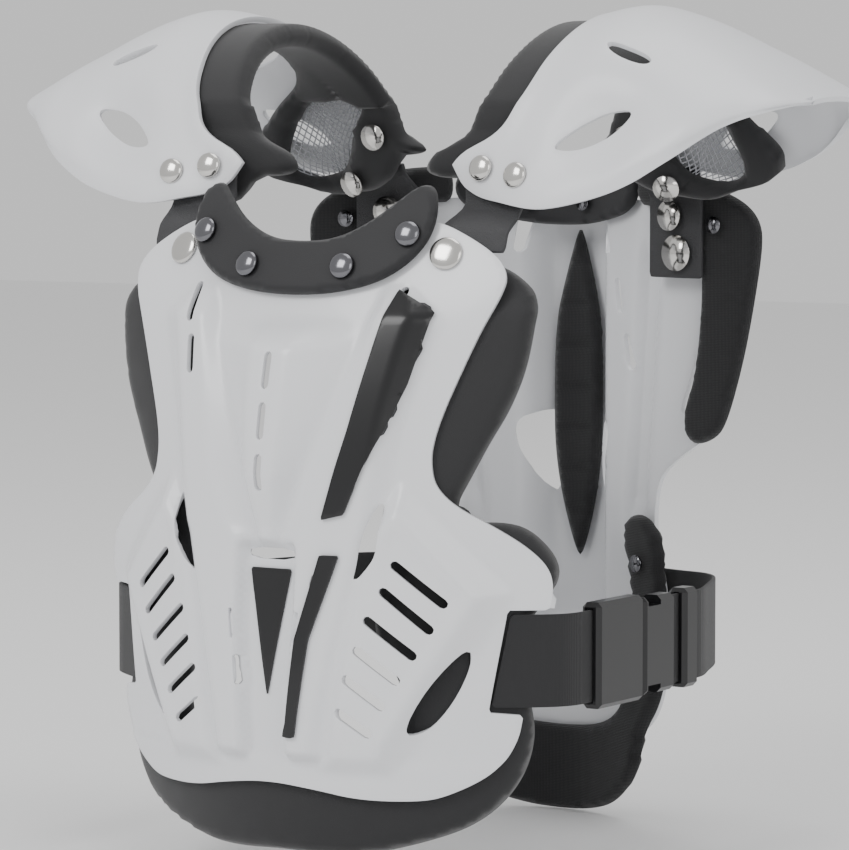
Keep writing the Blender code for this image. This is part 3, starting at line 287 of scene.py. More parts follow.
def inside_distance(points, x, y):
    """Distance to the nearest side of a convex outline, positive inside."""
    best = np.full(np.shape(x), np.inf)
    loop = list(points) + [points[0]]
    turn = sum(a[0] * b[1] - b[0] * a[1] for a, b in zip(loop[:-1], loop[1:]))
    for a, b in zip(loop[:-1], loop[1:]):
        length = math.hypot(b[0] - a[0], b[1] - a[1])
        side = (b[0] - a[0]) * (y - a[1]) - (b[1] - a[1]) * (x - a[0])
        best = np.minimum(best, math.copysign(1.0, turn) * side / length)
    return best


def chest_rise(x, z):
    """Rise of the plate: keel, ridges, louvre panels and the lower band."""
    share = (PLATE_TOP - z) / PLATE_HEIGHT
    side = np.abs(x) / PLATE_HALF
    keel, crease, inner, outer, valley = (
        row_value(RELIEF_ROWS, column, share) for column in range(1, 6)
    )
    keel_rise = KEEL_RISE * row_value(RELIEF_ROWS, 6, share)
    ridge_rise = RIDGE_RISE * row_value(RELIEF_ROWS, 7, share)
    crease_rise = CREASE_RISE * ramp(share, 0.15, 0.22) * (share < 0.56)
    rise = keel_rise + (crease_rise - keel_rise) * ramp(side, keel, crease)
    rise = rise + (ridge_rise - crease_rise) * ramp(side, crease, inner)
    rise = rise - ridge_rise * ramp(side, outer, valley)
    lobe = inside_distance(
        [(a * PLATE_HALF, -b * PLATE_HEIGHT) for a, b in LOBE_PANEL],
        np.abs(x), -share * PLATE_HEIGHT,
    )
    rise = np.maximum(rise, LOBE_RISE * ramp(lobe, -0.012, 0.0))
    rim = 0.0022 * np.exp(-(((lobe - 0.002) / 0.005) ** 2))
    rise = rise + rim * (side > 0.45)
    return np.maximum(rise, BAND_RISE * ramp(share, 0.928, 0.94))


def chest_relief(x, z):
    """The rise with its creases rounded: a mean over nine near places."""
    total = 0.0
    for dx in (-0.0014, 0.0, 0.0014):
        for dz in (-0.0014, 0.0, 0.0014):
            total = total + chest_rise(x + dx, z + dz)
    return total / 9.0


def chest_base(x, z):
    share = (PLATE_TOP - z) / PLATE_HEIGHT
    depth = CHEST_DEPTH * table(CHEST_ROWS, 1, share)
    sweep = SIDE_SWEEP * table(CHEST_ROWS, 2, share)
    return np.stack([x, -depth + sweep * (x / PLATE_HALF) ** 2, z], axis=-1)


def chest_plate_surface(x, z):
    points = chest_base(x, z)
    points[..., 1] -= chest_relief(x, z)
    return points


def liner_surface(x, z):
    """Front of the foam frame, deeper along its top for the straps."""
    share = (PLATE_TOP - z) / PLATE_HEIGHT
    dip = (STRAP_WALL + 2.5 * GAP) * (1.0 - ease(share, 0.11, 0.17))
    return offset(chest_base, x, z, -(PLATE_WALL + 2 * GAP) - dip)


def back_depth(x):
    return BACK_DEPTH - BACK_RISE * (1.0 - np.exp(-((x / BACK_SPREAD) ** 2)))


def back_relief(x, z):
    share = (BACK_TOP - z) / BACK_HEIGHT
    side = np.abs(x)
    channel = 1.0 - ease(side, CHANNEL_HALF - 0.001,
                         CHANNEL_HALF + CHANNEL_SLOPE + 0.001)
    rise = CHANNEL_DEPTH * channel * (1.0 - ramp(share, 0.78, 0.93))
    middle = BACK_HALF * (0.52 - 0.10 * ramp(share, 0.10, 0.60))
    ridge = 1.0 - ease(np.abs(side - middle), 0.005, 0.012)
    return np.maximum(rise, BACK_RIDGE * ridge * ramp(share, 0.05, 0.12)
                      * (1.0 - ramp(share, 0.55, 0.63)))


def back_base(u, z):
    """Inner face of the back; u runs from the wearer's left to the right."""
    return np.stack([-u, back_depth(u), z], axis=-1)


def channel_floor(u, z):
    points = back_base(u, z)
    points[..., 1] += CHANNEL_DEPTH - 2 * GAP
    return points


def back_plate_surface(u, z):
    points = back_base(u, z)
    points[..., 1] += PLATE_WALL + back_relief(u, z)
    return points


def cap_neck(angle):
    return CAP_TAB + (CAP_NECK - CAP_TAB) * table(NECK_ROWS, 1, np.abs(angle))


def cap_surface(reach, angle):
    """Half ellipse across the arch; reach is measured from the neck edge."""
    neck = cap_neck(angle)
    share = np.clip(reach / (CAP_REACH - neck), 0.0, 1.0)
    turn = np.radians(angle)
    depth = CAP_HALF_DEPTH * table(CAP_ROWS, 1, share)
    crown = CAP_TOP - CAP_DROP * table(CAP_ROWS, 2, share)
    edge = CAP_TOP - CAP_DROP * table(CAP_ROWS, 3, share)
    y = CAP_MIDDLE + depth * np.sin(turn) * np.where(turn > 0, CAP_REAR, 1.0)
    z = edge + (crown - edge) * np.cos(turn)
    dent = EYE_DENT * np.exp(
        -(((share - 0.33) / 0.17) ** 2) - ((np.abs(angle) - 66.0) / 15.0) ** 2
    )
    return np.stack([neck + reach, y - dent * np.sign(angle), z], axis=-1)


def pad_surface(reach, angle):
    """The pad lies below the cap, and deeper where the straps pass."""
    under = -(CAP_WALL + 3.8 * GAP) - (STRAP_WALL + 6.5 * GAP) * ramp(
        np.abs(angle), 64.0, 75.0
    )
    return offset(cap_surface, reach, angle, under)


def tab_depth(x, z):
    """Distance of a cap's wall from the arch's middle plane, by its tabs."""
    x = np.minimum(x, CAP_TAB + 0.7 * STRAP_WIDTH)
    angle = np.full(np.shape(x), 86.0)
    for _ in range(6):
        neck = cap_neck(angle)
        share = np.clip((x - neck) / (CAP_REACH - neck), 0.0, 1.0)
        depth = CAP_HALF_DEPTH * row_value(CAP_ROWS, 1, share)
        crown = CAP_TOP - CAP_DROP * row_value(CAP_ROWS, 2, share)
        edge = CAP_TOP - CAP_DROP * row_value(CAP_ROWS, 3, share)
        rise = np.clip((z - edge) / (crown - edge), 0.0, 0.9)
        angle = 0.5 * (angle + np.degrees(np.arccos(rise)))
    return depth * np.sqrt(1.0 - rise**2)


def front_strap_surface(x, z):
    low = offset(chest_base, x, z, -(PLATE_WALL + 2.5 * GAP))[..., 1]
    high = CAP_MIDDLE - tab_depth(x, z) + CAP_WALL + 4.5 * GAP
    mix = ease(z, PLATE_TOP - 0.007, PLATE_TOP + 0.009)
    return np.stack([x, low + (high - low) * mix, z], axis=-1)


def rear_strap_surface(u, z):
    low = back_depth(u) - SIDE_PAD_WALL - 5.0 * GAP
    high = CAP_MIDDLE + CAP_REAR * tab_depth(-u, z) - CAP_WALL - 4.5 * GAP
    mix = ease(z, BACK_TOP - 0.002, BACK_TOP + 0.013)
    return np.stack([-u, low + (high - low) * mix, z], axis=-1)


def offset(surface, u, v, lift):
    """Points of a surface moved outwards along its normal."""
    u = np.asarray(u, dtype=float)
    v = np.asarray(v, dtype=float)
    du = 0.0005
    dv = 0.3 if surface in (cap_surface, pad_surface) else 0.0005
    along = surface(u + du, v) - surface(u - du, v)
    across = surface(u, v + dv) - surface(u, v - dv)
    normal = np.cross(along, across)
    normal = normal / np.linalg.norm(normal, axis=-1, keepdims=True)
    return surface(u, v) + normal * np.asarray(lift)[..., None]


def waist_rows():
    """Path of the waist webbing's outer face: run, x and y."""
    points = []
    lift = np.array([WEB_WALL - PLATE_WALL - 0.5 * GAP])
    level = np.array([WAIST_HEIGHT])
    for share in (0.78, 0.84, 0.90, 0.955):
        side = np.array([share * PLATE_HALF])
        points.append(tuple(offset(chest_base, side, level, lift)[0][:2]))
    face = WAIST_OUT + WEB_WALL / 2
    start = BUCKLE_START
    rear = start + FEMALE_LENGTH + MALE_LENGTH
    end = rear + SLIDER_SPACE + SLIDER_LENGTH
    points += [
        (face - 0.0035, start - 0.022), (face - 0.0003, start - 0.012),
        (face, start - 0.004), (face, start + 0.005), (face, start + 0.010),
        (face, start + 0.020), (face, rear - 0.015), (face, end),
        (face, end + 0.010), (face - 0.008, end + 0.035),
    ]
    lift = np.array([PLATE_WALL + WEB_WALL + 1.5 * GAP])
    across = 0.62 * BACK_HALF
    for side in (across + 0.022, across + 0.008, across - 0.008,
                 across - 0.024):
        edge = offset(back_base, np.array([-side]), level, lift)[0]
        points.append(tuple(edge[:2]))
    points = np.array(points)
    run = np.concatenate(
        [[0.0], np.cumsum(np.hypot(*np.diff(points, axis=0).T))]
    )
    return [(r, x, y) for r, (x, y) in zip(run, points)]


WAIST_ROWS = waist_rows()


def waist_surface(run, z):
    return np.stack(
        [table(WAIST_ROWS, 1, run), table(WAIST_ROWS, 2, run), z], axis=-1
    )


print("waist path", round(WAIST_ROWS[-1][0], 3), "m on each side")

# %% [markdown]
# ## Plans and meshes
#
# A plan is a flat outline with holes, filled with even triangles by a
# constrained Delaunay step.  The surface function then lifts all its points
# at once.  Shells get their wall by Solidify and a rounded lip by Bevel; a
# pad is two such sheets that meet on its outline and swell apart inside it.


# %% Plans
def rounded(points, rounds=3, sharp=()):
    """Corner cutting on a closed loop; sharp corners keep a small radius."""
    loop = []
    count = len(points)
    for index, point in enumerate(points):
        here = np.array(point)
        if index in sharp:
            for other in (points[index - 1], points[(index + 1) % count]):
                way = np.array(other) - here
                if other is points[(index + 1) % count]:
                    loop.append(here)
                loop.append(here + way * min(0.4, 0.002 / np.hypot(*way)))
        else:
            loop.append(here)
    loop = np.array(loop)
    for _ in range(rounds):
        after = np.roll(loop, -1, axis=0)
        loop = np.stack([0.75 * loop + 0.25 * after,
                         0.25 * loop + 0.75 * after], axis=1).reshape(-1, 2)
    return loop


def sized(points, width, height, top):
    return [(a * width, top - b * height) for a, b in points]


def whole(half):
    """Full loop from a half outline whose ends lie on the centre plane."""
    return [(-x, z) for x, z in reversed(half[1:-1])] + list(half)


def plate_loop(points):
    return whole(sized(points, PLATE_HALF, PLATE_HEIGHT, PLATE_TOP))


def back_loop(points):
    return whole(sized(points, BACK_HALF, BACK_HEIGHT, BACK_TOP))


def evened(loop, step):
    """The closed loop with points at even lengths."""
    ring = np.vstack([loop, loop[:1]])
    run = np.concatenate([[0.0], np.cumsum(np.hypot(*np.diff(ring, axis=0).T))])
    count = max(8, int(round(run[-1] / step)))
    at = np.linspace(0.0, run[-1], count, endpoint=False)
    return np.stack([np.interp(at, run, ring[:, 0]),
                     np.interp(at, run, ring[:, 1])], axis=1)


def slot(start, end, width, sides=8):
    """Outline of a slot with round ends."""
    a = np.array(start)
    b = np.array(end)
    heading = math.atan2(b[1] - a[1], b[0] - a[0])
    turn = heading + np.radians(np.linspace(-90.0, 90.0, sides + 1))
    far = b + np.stack([np.cos(turn), np.sin(turn)], axis=1) * width / 2
    near = a - np.stack([np.cos(turn), np.sin(turn)], axis=1) * width / 2
    return np.vstack([far, near])


def contains(loop, x, y):
    """Even-odd test of many points against a loop."""
    inside = np.zeros(len(x), dtype=bool)
    after = np.roll(loop, -1, axis=0)
    for (ax, ay), (bx, by) in zip(loop, after):
        if ay == by:
            continue
        crosses = (ay > y) != (by > y)
        inside ^= crosses & (x < ax + (y - ay) * (bx - ax) / (by - ay))
    return inside


def chain_distance(chains, x, y):
    """Distance of many points to the nearest side of open chains."""
    best = np.full(len(x), 1.0)
    for chain in chains:
        for (ax, ay), (bx, by) in zip(chain[:-1], chain[1:]):
            length2 = (bx - ax) ** 2 + (by - ay) ** 2 + 1e-18
            t = ((x - ax) * (bx - ax) + (y - ay) * (by - ay)) / length2
            t = np.clip(t, 0.0, 1.0)
            far = np.hypot(x - ax - t * (bx - ax), y - ay - t * (by - ay))
            best = np.minimum(best, far)
    return best


def ringed(loop):
    return np.vstack([loop, loop[:1]])


def plan(loop, holes, step):
    """Points, triangles and rim numbers of an outline with holes."""
    rims = [evened(np.array(loop), step)]
    rims += [evened(np.array(hole), min(step, 0.002)) for hole in holes]
    low = rims[0].min(axis=0)
    high = rims[0].max(axis=0)
    across = np.arange(low[0], high[0] + step, step)
    up = np.arange(low[1], high[1] + step, step * 0.866)
    x, y = np.meshgrid(across, up)
    x = x + 0.5 * step * (np.arange(len(up)) % 2)[:, None]
    x, y = x.ravel(), y.ravel()
    keep = contains(rims[0], x, y)
    x, y = x[keep], y[keep]
    for hole in rims[1:]:
        near = ((x > hole[:, 0].min() - step) & (x < hole[:, 0].max() + step)
                & (y > hole[:, 1].min() - step) & (y < hole[:, 1].max() + step))
        drop = np.zeros(len(x), dtype=bool)
        drop[near] = contains(hole, x[near], y[near]) | (
            chain_distance([ringed(hole)], x[near], y[near]) < 0.6 * step)
        x, y = x[~drop], y[~drop]
    keep = chain_distance([ringed(rims[0])], x, y) > 0.6 * step
    points = [np.stack([x[keep], y[keep]], axis=1)]
    edges = []
    count = len(points[0])
    for rim in rims:
        number = np.arange(len(rim)) + count
        edges += np.stack([number, np.roll(number, -1)], axis=1).tolist()
        points.append(rim)
        count += len(rim)
    points = np.vstack(points)
    found = delaunay_2d_cdt(
        [Vector(p) for p in points.tolist()], edges, [], 0, 1e-8
    )
    flat = np.array([tuple(p) for p in found[0]])
    faces = np.array([tuple(f) for f in found[2]])
    centre = flat[faces].mean(axis=1)
    keep = contains(rims[0], centre[:, 0], centre[:, 1])
    for hole in rims[1:]:
        keep &= ~contains(hole, centre[:, 0], centre[:, 1])
    used, numbers = np.unique(faces[keep], return_inverse=True)
    return flat[used], numbers.reshape(-1, 3), rims


def make(name, points, faces, look):
    """A smooth shaded object at the origin with one material."""
    mesh = bpy.data.meshes.new(name)
    mesh.from_pydata(points.tolist(), [], np.asarray(faces).tolist())
    mesh.polygons.foreach_set("use_smooth", [True] * len(mesh.polygons))
    mesh.update()
    piece = bpy.data.objects.new(name, mesh)
    bpy.context.scene.collection.objects.link(piece)
    mesh.materials.append(look)
    return piece


def place(piece, nodes=()):
    """Rides on the one body and stands for its nodes."""
    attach(piece, "root")
    if nodes:
        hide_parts(*nodes)
    return piece


def mirrored_points(points, faces):
    return points * (-1.0, 1.0, 1.0), faces[:, ::-1]


def shell(name, surface, loop, holes, wall, look, step, lift=0.0, scale=1.0,
          lip=0.0008, mirror=False):
    """A wall laid on a surface; scale turns the second number to lengths."""
    to_length = np.array([1.0, scale])
    flat, faces, _ = plan(np.array(loop) * to_length,
                          [np.array(h) * to_length for h in holes], step)
    flat = flat / to_length
    points = offset(surface, flat[:, 0], flat[:, 1], np.full(len(flat), lift))
    if mirror:
        points, faces = mirrored_points(points, faces)
    piece = make(name, points, faces, look)
    thick = piece.modifiers.new("wall", "SOLIDIFY")
    thick.thickness = wall
    thick.offset = -1.0
    thick.use_quality_normals = True
    if lip:
        edge = piece.modifiers.new("lip", "BEVEL")
        edge.width = lip
        edge.segments = 2
        edge.limit_method = "ANGLE"
        edge.angle_limit = math.radians(55.0)
    return piece


def pillow(name, surface, loop, holes, look, wall, step, lift=0.0, scale=1.0,
           round_edge=0.006, seams=(), groove=0.45, crown=0.0, mirror=False,
           wrinkle=0.0):
    """A pad: two sheets that share the outline and swell apart inside it.

    The thickness grows from nothing on the outline like a quarter circle of
    the edge's radius, sinks along each seam like a bell curve, and swells a
    little more the further it is from both.
    """
    to_length = np.array([1.0, scale])
    seams = [np.array(seam) * to_length for seam in seams]
    flat, faces, rims = plan(np.array(loop) * to_length,
                             [np.array(h) * to_length for h in holes], step)
    x, y = flat.T
    far = chain_distance([ringed(rim) for rim in rims], x, y)
    rim = far < 1e-6
    t = np.clip(far / round_edge, 0.0, 1.0)
    thick = wall * np.sqrt(1.0 - (1.0 - t) ** 2)
    open_field = far
    if seams:
        to_seam = chain_distance(seams, x, y)
        thick = thick * (1.0 - groove * np.exp(-((to_seam / 0.003) ** 2)))
        open_field = np.minimum(far, to_seam)
    thick = thick + crown * (1.0 - np.exp(-open_field / 0.010)) * t
    if wrinkle:
        wave = (np.sin(x * 310.0 + 2.2 * np.sin(y * 140.0))
                + np.sin(y * 270.0 + 2.0 * np.sin(x * 170.0)))
        thick = thick + wrinkle * wave * np.exp(-open_field / 0.012) * t
    flat = flat / to_length
    u, v = flat.T
    middle = lift - wall / 2
    front = offset(surface, u, v, middle + thick / 2)
    rear = offset(surface, u, v, middle - thick / 2)
    number = np.arange(len(flat))
    back_number = number.copy()
    inner = ~rim
    back_number[inner] = len(flat) + np.arange(inner.sum())
    points = np.vstack([front, rear[inner]])
    faces = np.vstack([faces, back_number[faces][:, ::-1]])
    if mirror:
        points, faces = mirrored_points(points, faces)
    piece = make(name, points, faces, look)
    return piece


def turned(name, profile, centre, axis, look, sides=40):
    """A turned head: profile pairs are radius and height along the axis."""
    axis = np.array(axis, dtype=float)
    axis = axis / np.linalg.norm(axis)
    aside = np.cross(axis, (0.0, 0.0, 1.0) if abs(axis[2]) < 0.9 else
                     (1.0, 0.0, 0.0))
    aside = aside / np.linalg.norm(aside)
    third = np.cross(axis, aside)
    turn = np.linspace(0.0, 2 * math.pi, sides, endpoint=False)
    radius, height = np.array(profile).T
    ring = (np.cos(turn)[None, :, None] * aside
            + np.sin(turn)[None, :, None] * third)
    points = (np.array(centre) + radius[:, None, None] * ring
              + height[:, None, None] * axis)
    rows = len(profile)
    i, j = np.meshgrid(np.arange(rows - 1), np.arange(sides), indexing="ij")
    k = (j + 1) % sides
    quads = np.stack([i * sides + j, (i + 1) * sides + j,
                      (i + 1) * sides + k, i * sides + k], axis=-1)
    piece = make(name, points.reshape(-1, 3), quads.reshape(-1, 4), look)
    weld = piece.modifiers.new("poles", "WELD")
    weld.merge_threshold = 0.00002
    return piece


print("helpers ready")

# %% [markdown]
# ## Materials
#
# Each is named for the real material.  Colours are hex values turned to
# linear light by one function; patterns read object coordinates.  The
# plastics have a faint orange peel, the covers a fine grain that catches
# light at the edges, and the webbing and coarse pads a crossed weave.


# %% Materials
def linear(hex_colour):
    parts = np.array([int(hex_colour[i:i + 2], 16) for i in (1, 3, 5)]) / 255
    light = np.where(parts <= 0.04045, parts / 12.92,
                     ((parts + 0.055) / 1.055) ** 2.4)
    return (*light.tolist(), 1.0)


def add(tree, kind, values=None, links=None, **settings):
    """Adds a node, sets its sockets and links what feeds it."""
    made = tree.nodes.new(kind)
    for key, value in settings.items():
        setattr(made, key, value)
    for key, value in (values or {}).items():
        made.inputs[key].default_value = value
    for key, source in (links or {}).items():
        tree.links.new(source, made.inputs[key])
    return made


def material(name, colour, roughness, metallic=0.0, coat=0.0, sheen=0.0):
    made = bpy.data.materials.new(name)
    made.use_nodes = True
    shader = made.node_tree.nodes["Principled BSDF"]
    shader.inputs["Base Color"].default_value = linear(colour)
    shader.inputs["Roughness"].default_value = roughness
    shader.inputs["Metallic"].default_value = metallic
    shader.inputs["Coat Weight"].default_value = coat
    shader.inputs["Sheen Weight"].default_value = sheen
    return made


def bump(made, height_of, strength, distance):
    """height_of(tree, coordinates) gives a height that becomes a bump."""
    tree = made.node_tree
    where = add(tree, "ShaderNodeTexCoord")
    height = height_of(tree, where.outputs["Object"])
    relief = add(tree, "ShaderNodeBump",
                 {"Strength": strength, "Distance": distance},
                 {"Height": height})
    shader = tree.nodes["Principled BSDF"]
    tree.links.new(relief.outputs["Normal"], shader.inputs["Normal"])
    return made


def noise(scale, detail=2.0, stretch=(1.0, 1.0, 1.0)):
    def height(tree, where):
        turned_to = add(tree, "ShaderNodeMapping", {"Scale": stretch},
                        {"Vector": where})
        made = add(tree, "ShaderNodeTexNoise",
                   {"Scale": scale, "Detail": detail},
                   {"Vector": turned_to.outputs["Vector"]})
        return made.outputs["Fac"]
    return height


def weave(scale):
    """Two crossed sets of threads, across the piece and up it."""
    def height(tree, where):
        bands = []
        for direction in ("X", "Z"):
            wave = add(tree, "ShaderNodeTexWave",
                       {"Scale": scale, "Distortion": 0.6, "Detail": 1.0},
                       {"Vector": where}, bands_direction=direction)
            bands.append(wave.outputs["Fac"])
        mixed = add(tree, "ShaderNodeMath", None,
                    {0: bands[0], 1: bands[1]}, operation="MAXIMUM")
        return mixed.outputs["Value"]
    return height


WHITE = material("white moulded plastic", "#E6E7EA", 0.27, coat=0.15)
bump(WHITE, noise(900.0, 1.0), 0.03, 0.0004)
CAP_WHITE = material("satin white plastic", "#E3E4E7", 0.36, coat=0.05)
bump(CAP_WHITE, noise(1100.0, 1.0), 0.04, 0.0004)
FOAM = material("black knitted cover", "#1B1B1D", 0.72, sheen=0.25)
bump(FOAM, noise(2600.0, 3.0), 0.35, 0.0006)
COARSE = material("black coarse weave", "#19191B", 0.80, sheen=0.2)
bump(COARSE, weave(330.0), 0.5, 0.0007)
COLLAR = material("black collar foam", "#17171A", 0.62, sheen=0.15)
bump(COLLAR, noise(1900.0, 2.0), 0.25, 0.0005)
GRAIN = material("grained strap", "#3A3A3C", 0.62)
bump(GRAIN, noise(1500.0, 2.0), 0.7, 0.0010)
WEB = material("ribbed webbing", "#1D1D1F", 0.7, sheen=0.15)
bump(WEB, weave(620.0), 0.5, 0.0006)
BLACK = material("black plastic", "#121214", 0.28, coat=0.1)
STEEL = material("polished steel", "#D8D6D2", 0.16, metallic=1.0)
DARK = material("dark chrome", "#77777B", 0.16, metallic=1.0)
NET = material("light grey net", "#A9AAAF", 0.6)
print("materials:", len(bpy.data.materials))

# %% [markdown]
# ## Chest plate
#
# The moulded plate: keel, ridges, louvres and slots, cut through.


# %% Chest plate
def plate_point(side, share):
    return side * PLATE_HALF, PLATE_TOP - share * PLATE_HEIGHT


def both_sides(loops):
    loops = [np.array(one) for one in loops]
    return loops + [(one * (-1.0, 1.0))[::-1] for one in loops]


def plate_slots():
    side = []
    for a, b in ((0.462, 0.122), (0.428, 0.212)):
        side.append(slot(plate_point(a, b), plate_point(a - 0.012, b + 0.054),
                         SLOT_WIDTH))
    for a, b in ((0.148, 0.679), (0.120, 0.760)):
        side.append(slot(plate_point(a, b), plate_point(a - 0.010, b + 0.045),
                         0.6 * SLOT_WIDTH))
    louvres = (
        ((0.515, 0.590), (0.680, 0.655)), ((0.475, 0.636), (0.635, 0.700)),
        ((0.420, 0.686), (0.580, 0.745)), ((0.385, 0.738), (0.525, 0.788)),
        ((0.345, 0.788), (0.475, 0.833)), ((0.317, 0.846), (0.425, 0.881)),
    )
    for start, end in louvres:
        side.append(slot(plate_point(*start), plate_point(*end), LOUVRE_WIDTH))
    waist_gap = (
        (0.452, 0.470), (0.462, 0.520), (0.448, 0.580), (0.350, 0.625),
        (0.365, 0.600), (0.385, 0.545),
    )
    crescent = (
        (0.752, 0.725), (0.748, 0.765), (0.690, 0.830), (0.605, 0.880),
        (0.530, 0.888), (0.625, 0.800),
    )
    for outline in (waist_gap, crescent):
        side.append(rounded([plate_point(*p) for p in outline], 2))
    centre = [
        slot(plate_point(0.0, share), plate_point(0.0, share + 0.050),
             SLOT_WIDTH) for share in (0.235, 0.322, 0.411)
    ]
    recess = ((-0.100, 0.570), (-0.100, 0.590), (0.100, 0.590), (0.100, 0.570))
    centre.append(rounded([plate_point(*p) for p in recess], 1))
    return both_sides(side) + centre


# Corners by the two strap notches, as numbers in the plate's whole loop.
NOTCH_CORNERS = (48, 49, 50, 51, 8, 9, 10, 11)
chest = shell("chest_shell", chest_plate_surface,
              rounded(plate_loop(PLATE_EDGE), 3, NOTCH_CORNERS), plate_slots(),
              PLATE_WALL, WHITE, 0.0026)
place(chest, ["chest_plate"])
print("chest shell", len(chest.data.vertices), "points")

# %% [markdown]
# ## Foam frame and collar of the chest
#
# The frame is one pillow with a large opening, behind the plate.  The collar
# is a smaller one that lies on the plate's upper edge.

# %% Chest foam
liner = pillow("chest_foam", liner_surface, rounded(plate_loop(LINER_EDGE), 3),
               [rounded(plate_loop(LINER_OPENING), 3)], FOAM, LINER_WALL,
               0.0035, round_edge=0.007, crown=0.002, wrinkle=0.0003)
place(liner, ["chest_liner"])
collar = pillow("front_collar", chest_base,
                rounded(plate_loop(COLLAR_EDGE), 3), [], COLLAR,
                COLLAR_WALL, 0.0026, lift=COLLAR_WALL + 2 * GAP,
                round_edge=0.0035)
place(collar, ["collar_front"])
print("chest foam", len(liner.data.vertices), "points")

# %% [markdown]
# ## Back plate and its pads
#
# The shell has slots and a window on both sides of its spine groove.  Its
# pads lie on the inner face, and the spine pad lies in the groove.

# %% Back
holes = []
for side, share in ((0.215, 0.055), (0.300, 0.162), (0.362, 0.262)):
    start = (side * BACK_HALF, BACK_TOP - share * BACK_HEIGHT)
    end = ((side + 0.02) * BACK_HALF, start[1] - 0.050 * BACK_HEIGHT)
    holes.append(slot(start, end, SLOT_WIDTH))
window = ((0.15, 0.40), (0.24, 0.42), (0.24, 0.46), (0.17, 0.56),
          (0.10, 0.55), (0.10, 0.43))
holes.append(rounded(sized(window, BACK_HALF, BACK_HEIGHT, BACK_TOP), 2))
back = shell("back_shell", back_plate_surface, rounded(back_loop(BACK_EDGE)),
             both_sides(holes), PLATE_WALL, WHITE, 0.0035)
place(back, ["back_plate"])

half = [(a * SPINE_PAD_HALF, BACK_TOP - (0.06 + 0.93 * b) * BACK_HEIGHT)
        for a, b in SPINE_EDGE]
spine_loop = rounded([(-x, z) for x, z in reversed(half)] + half)
bars = [[(-0.03, z), (0.03, z)] for z in np.linspace(-0.13, -0.28, 7)]
spine = pillow("spine_foam", channel_floor, spine_loop, [], COARSE,
               SPINE_PAD_WALL, 0.003, seams=bars, groove=0.4, crown=0.001)
place(spine, ["spine_pad"])
rear_collar = pillow("rear_collar", back_base,
                     rounded(back_loop(COLLAR_BACK_EDGE)), [], COLLAR,
                     SIDE_PAD_WALL, 0.003, lift=-2 * GAP, round_edge=0.004)
place(rear_collar, ["collar_back"])
side_loop = rounded(sized(SIDE_PAD_EDGE, -BACK_HALF, BACK_HEIGHT,
                          BACK_TOP))[::-1]
for side, mirror in (("left", False), ("right", True)):
    pad = pillow("back_side_foam_" + side, back_base, side_loop, [], COARSE,
                 SIDE_PAD_WALL, 0.003, lift=-2 * GAP, round_edge=0.005,
                 mirror=mirror)
    place(pad, ["back_side_pad_" + side])
hip = pillow("hip_foam", back_base, rounded(back_loop(HIP_PAD_EDGE)), [],
             COARSE, HIP_PAD_WALL, 0.0035, lift=-2 * GAP, round_edge=0.005)
place(hip, ["hip_pad"])
print("back pieces done")

# %% [markdown]
# ## Shoulder caps, pads, nets and straps
#
# A cap's outline runs along the arch at the neck and back along the tip.  All
# pieces are made for the wearer's left and mirrored for the right.


# %% Shoulders
def rectangle(low_u, high_u, low_v, high_v):
    corners = ((low_u, low_v), (high_u, low_v), (high_u, high_v),
               (low_u, high_v))
    return rounded(corners, 2, (0, 1, 2, 3))


angles = np.linspace(CAP_FRONT_END, CAP_REAR_END, CAP_SAMPLES)
tip = CAP_REACH - cap_neck(angles)
cap_loop = np.vstack([
    np.stack([np.zeros(CAP_SAMPLES), angles], axis=1),
    np.stack([tip, angles], axis=1)[::-1],
])[::-1]
cap_holes = []
for sign in (-1.0, 1.0):
    for shape in (CAP_EYE, CAP_SLIT):
        share, angle = np.array(shape).T
        reach = share * (CAP_REACH - cap_neck(angle))
        loop = np.stack([reach, angle * sign * DEGREE], axis=1)
        cap_holes.append(rounded(loop, 2) / (1.0, DEGREE))
pad_loop = np.array([
    (-0.020, -97.0), (-0.9 * PAD_NECK, -88.0), (-PAD_NECK, -76.0),
    (-PAD_NECK, -52.0), (-PAD_NECK, -26.0), (-PAD_NECK, 0.0),
    (-PAD_NECK, 26.0), (-PAD_NECK, 52.0), (-PAD_NECK, 72.0),
    (-0.8 * PAD_NECK, 84.0), (-0.012, 88.0), (0.020, 89.0), (0.060, 88.0),
    (0.084, 82.0), (0.078, 72.0), (0.052, 60.0), (0.022, 46.0),
    (0.010, 30.0), (0.008, 0.0), (0.008, -26.0), (0.008, -52.0),
    (0.010, -76.0), (0.022, -88.0), (0.014, -97.0),
])
pad_loop = rounded(pad_loop * (1.0, DEGREE)) / (1.0, DEGREE)
window_loop = rounded(np.array(MESH_WINDOW) * (1.0, DEGREE), 2)
window_loop = window_loop / (1.0, DEGREE)


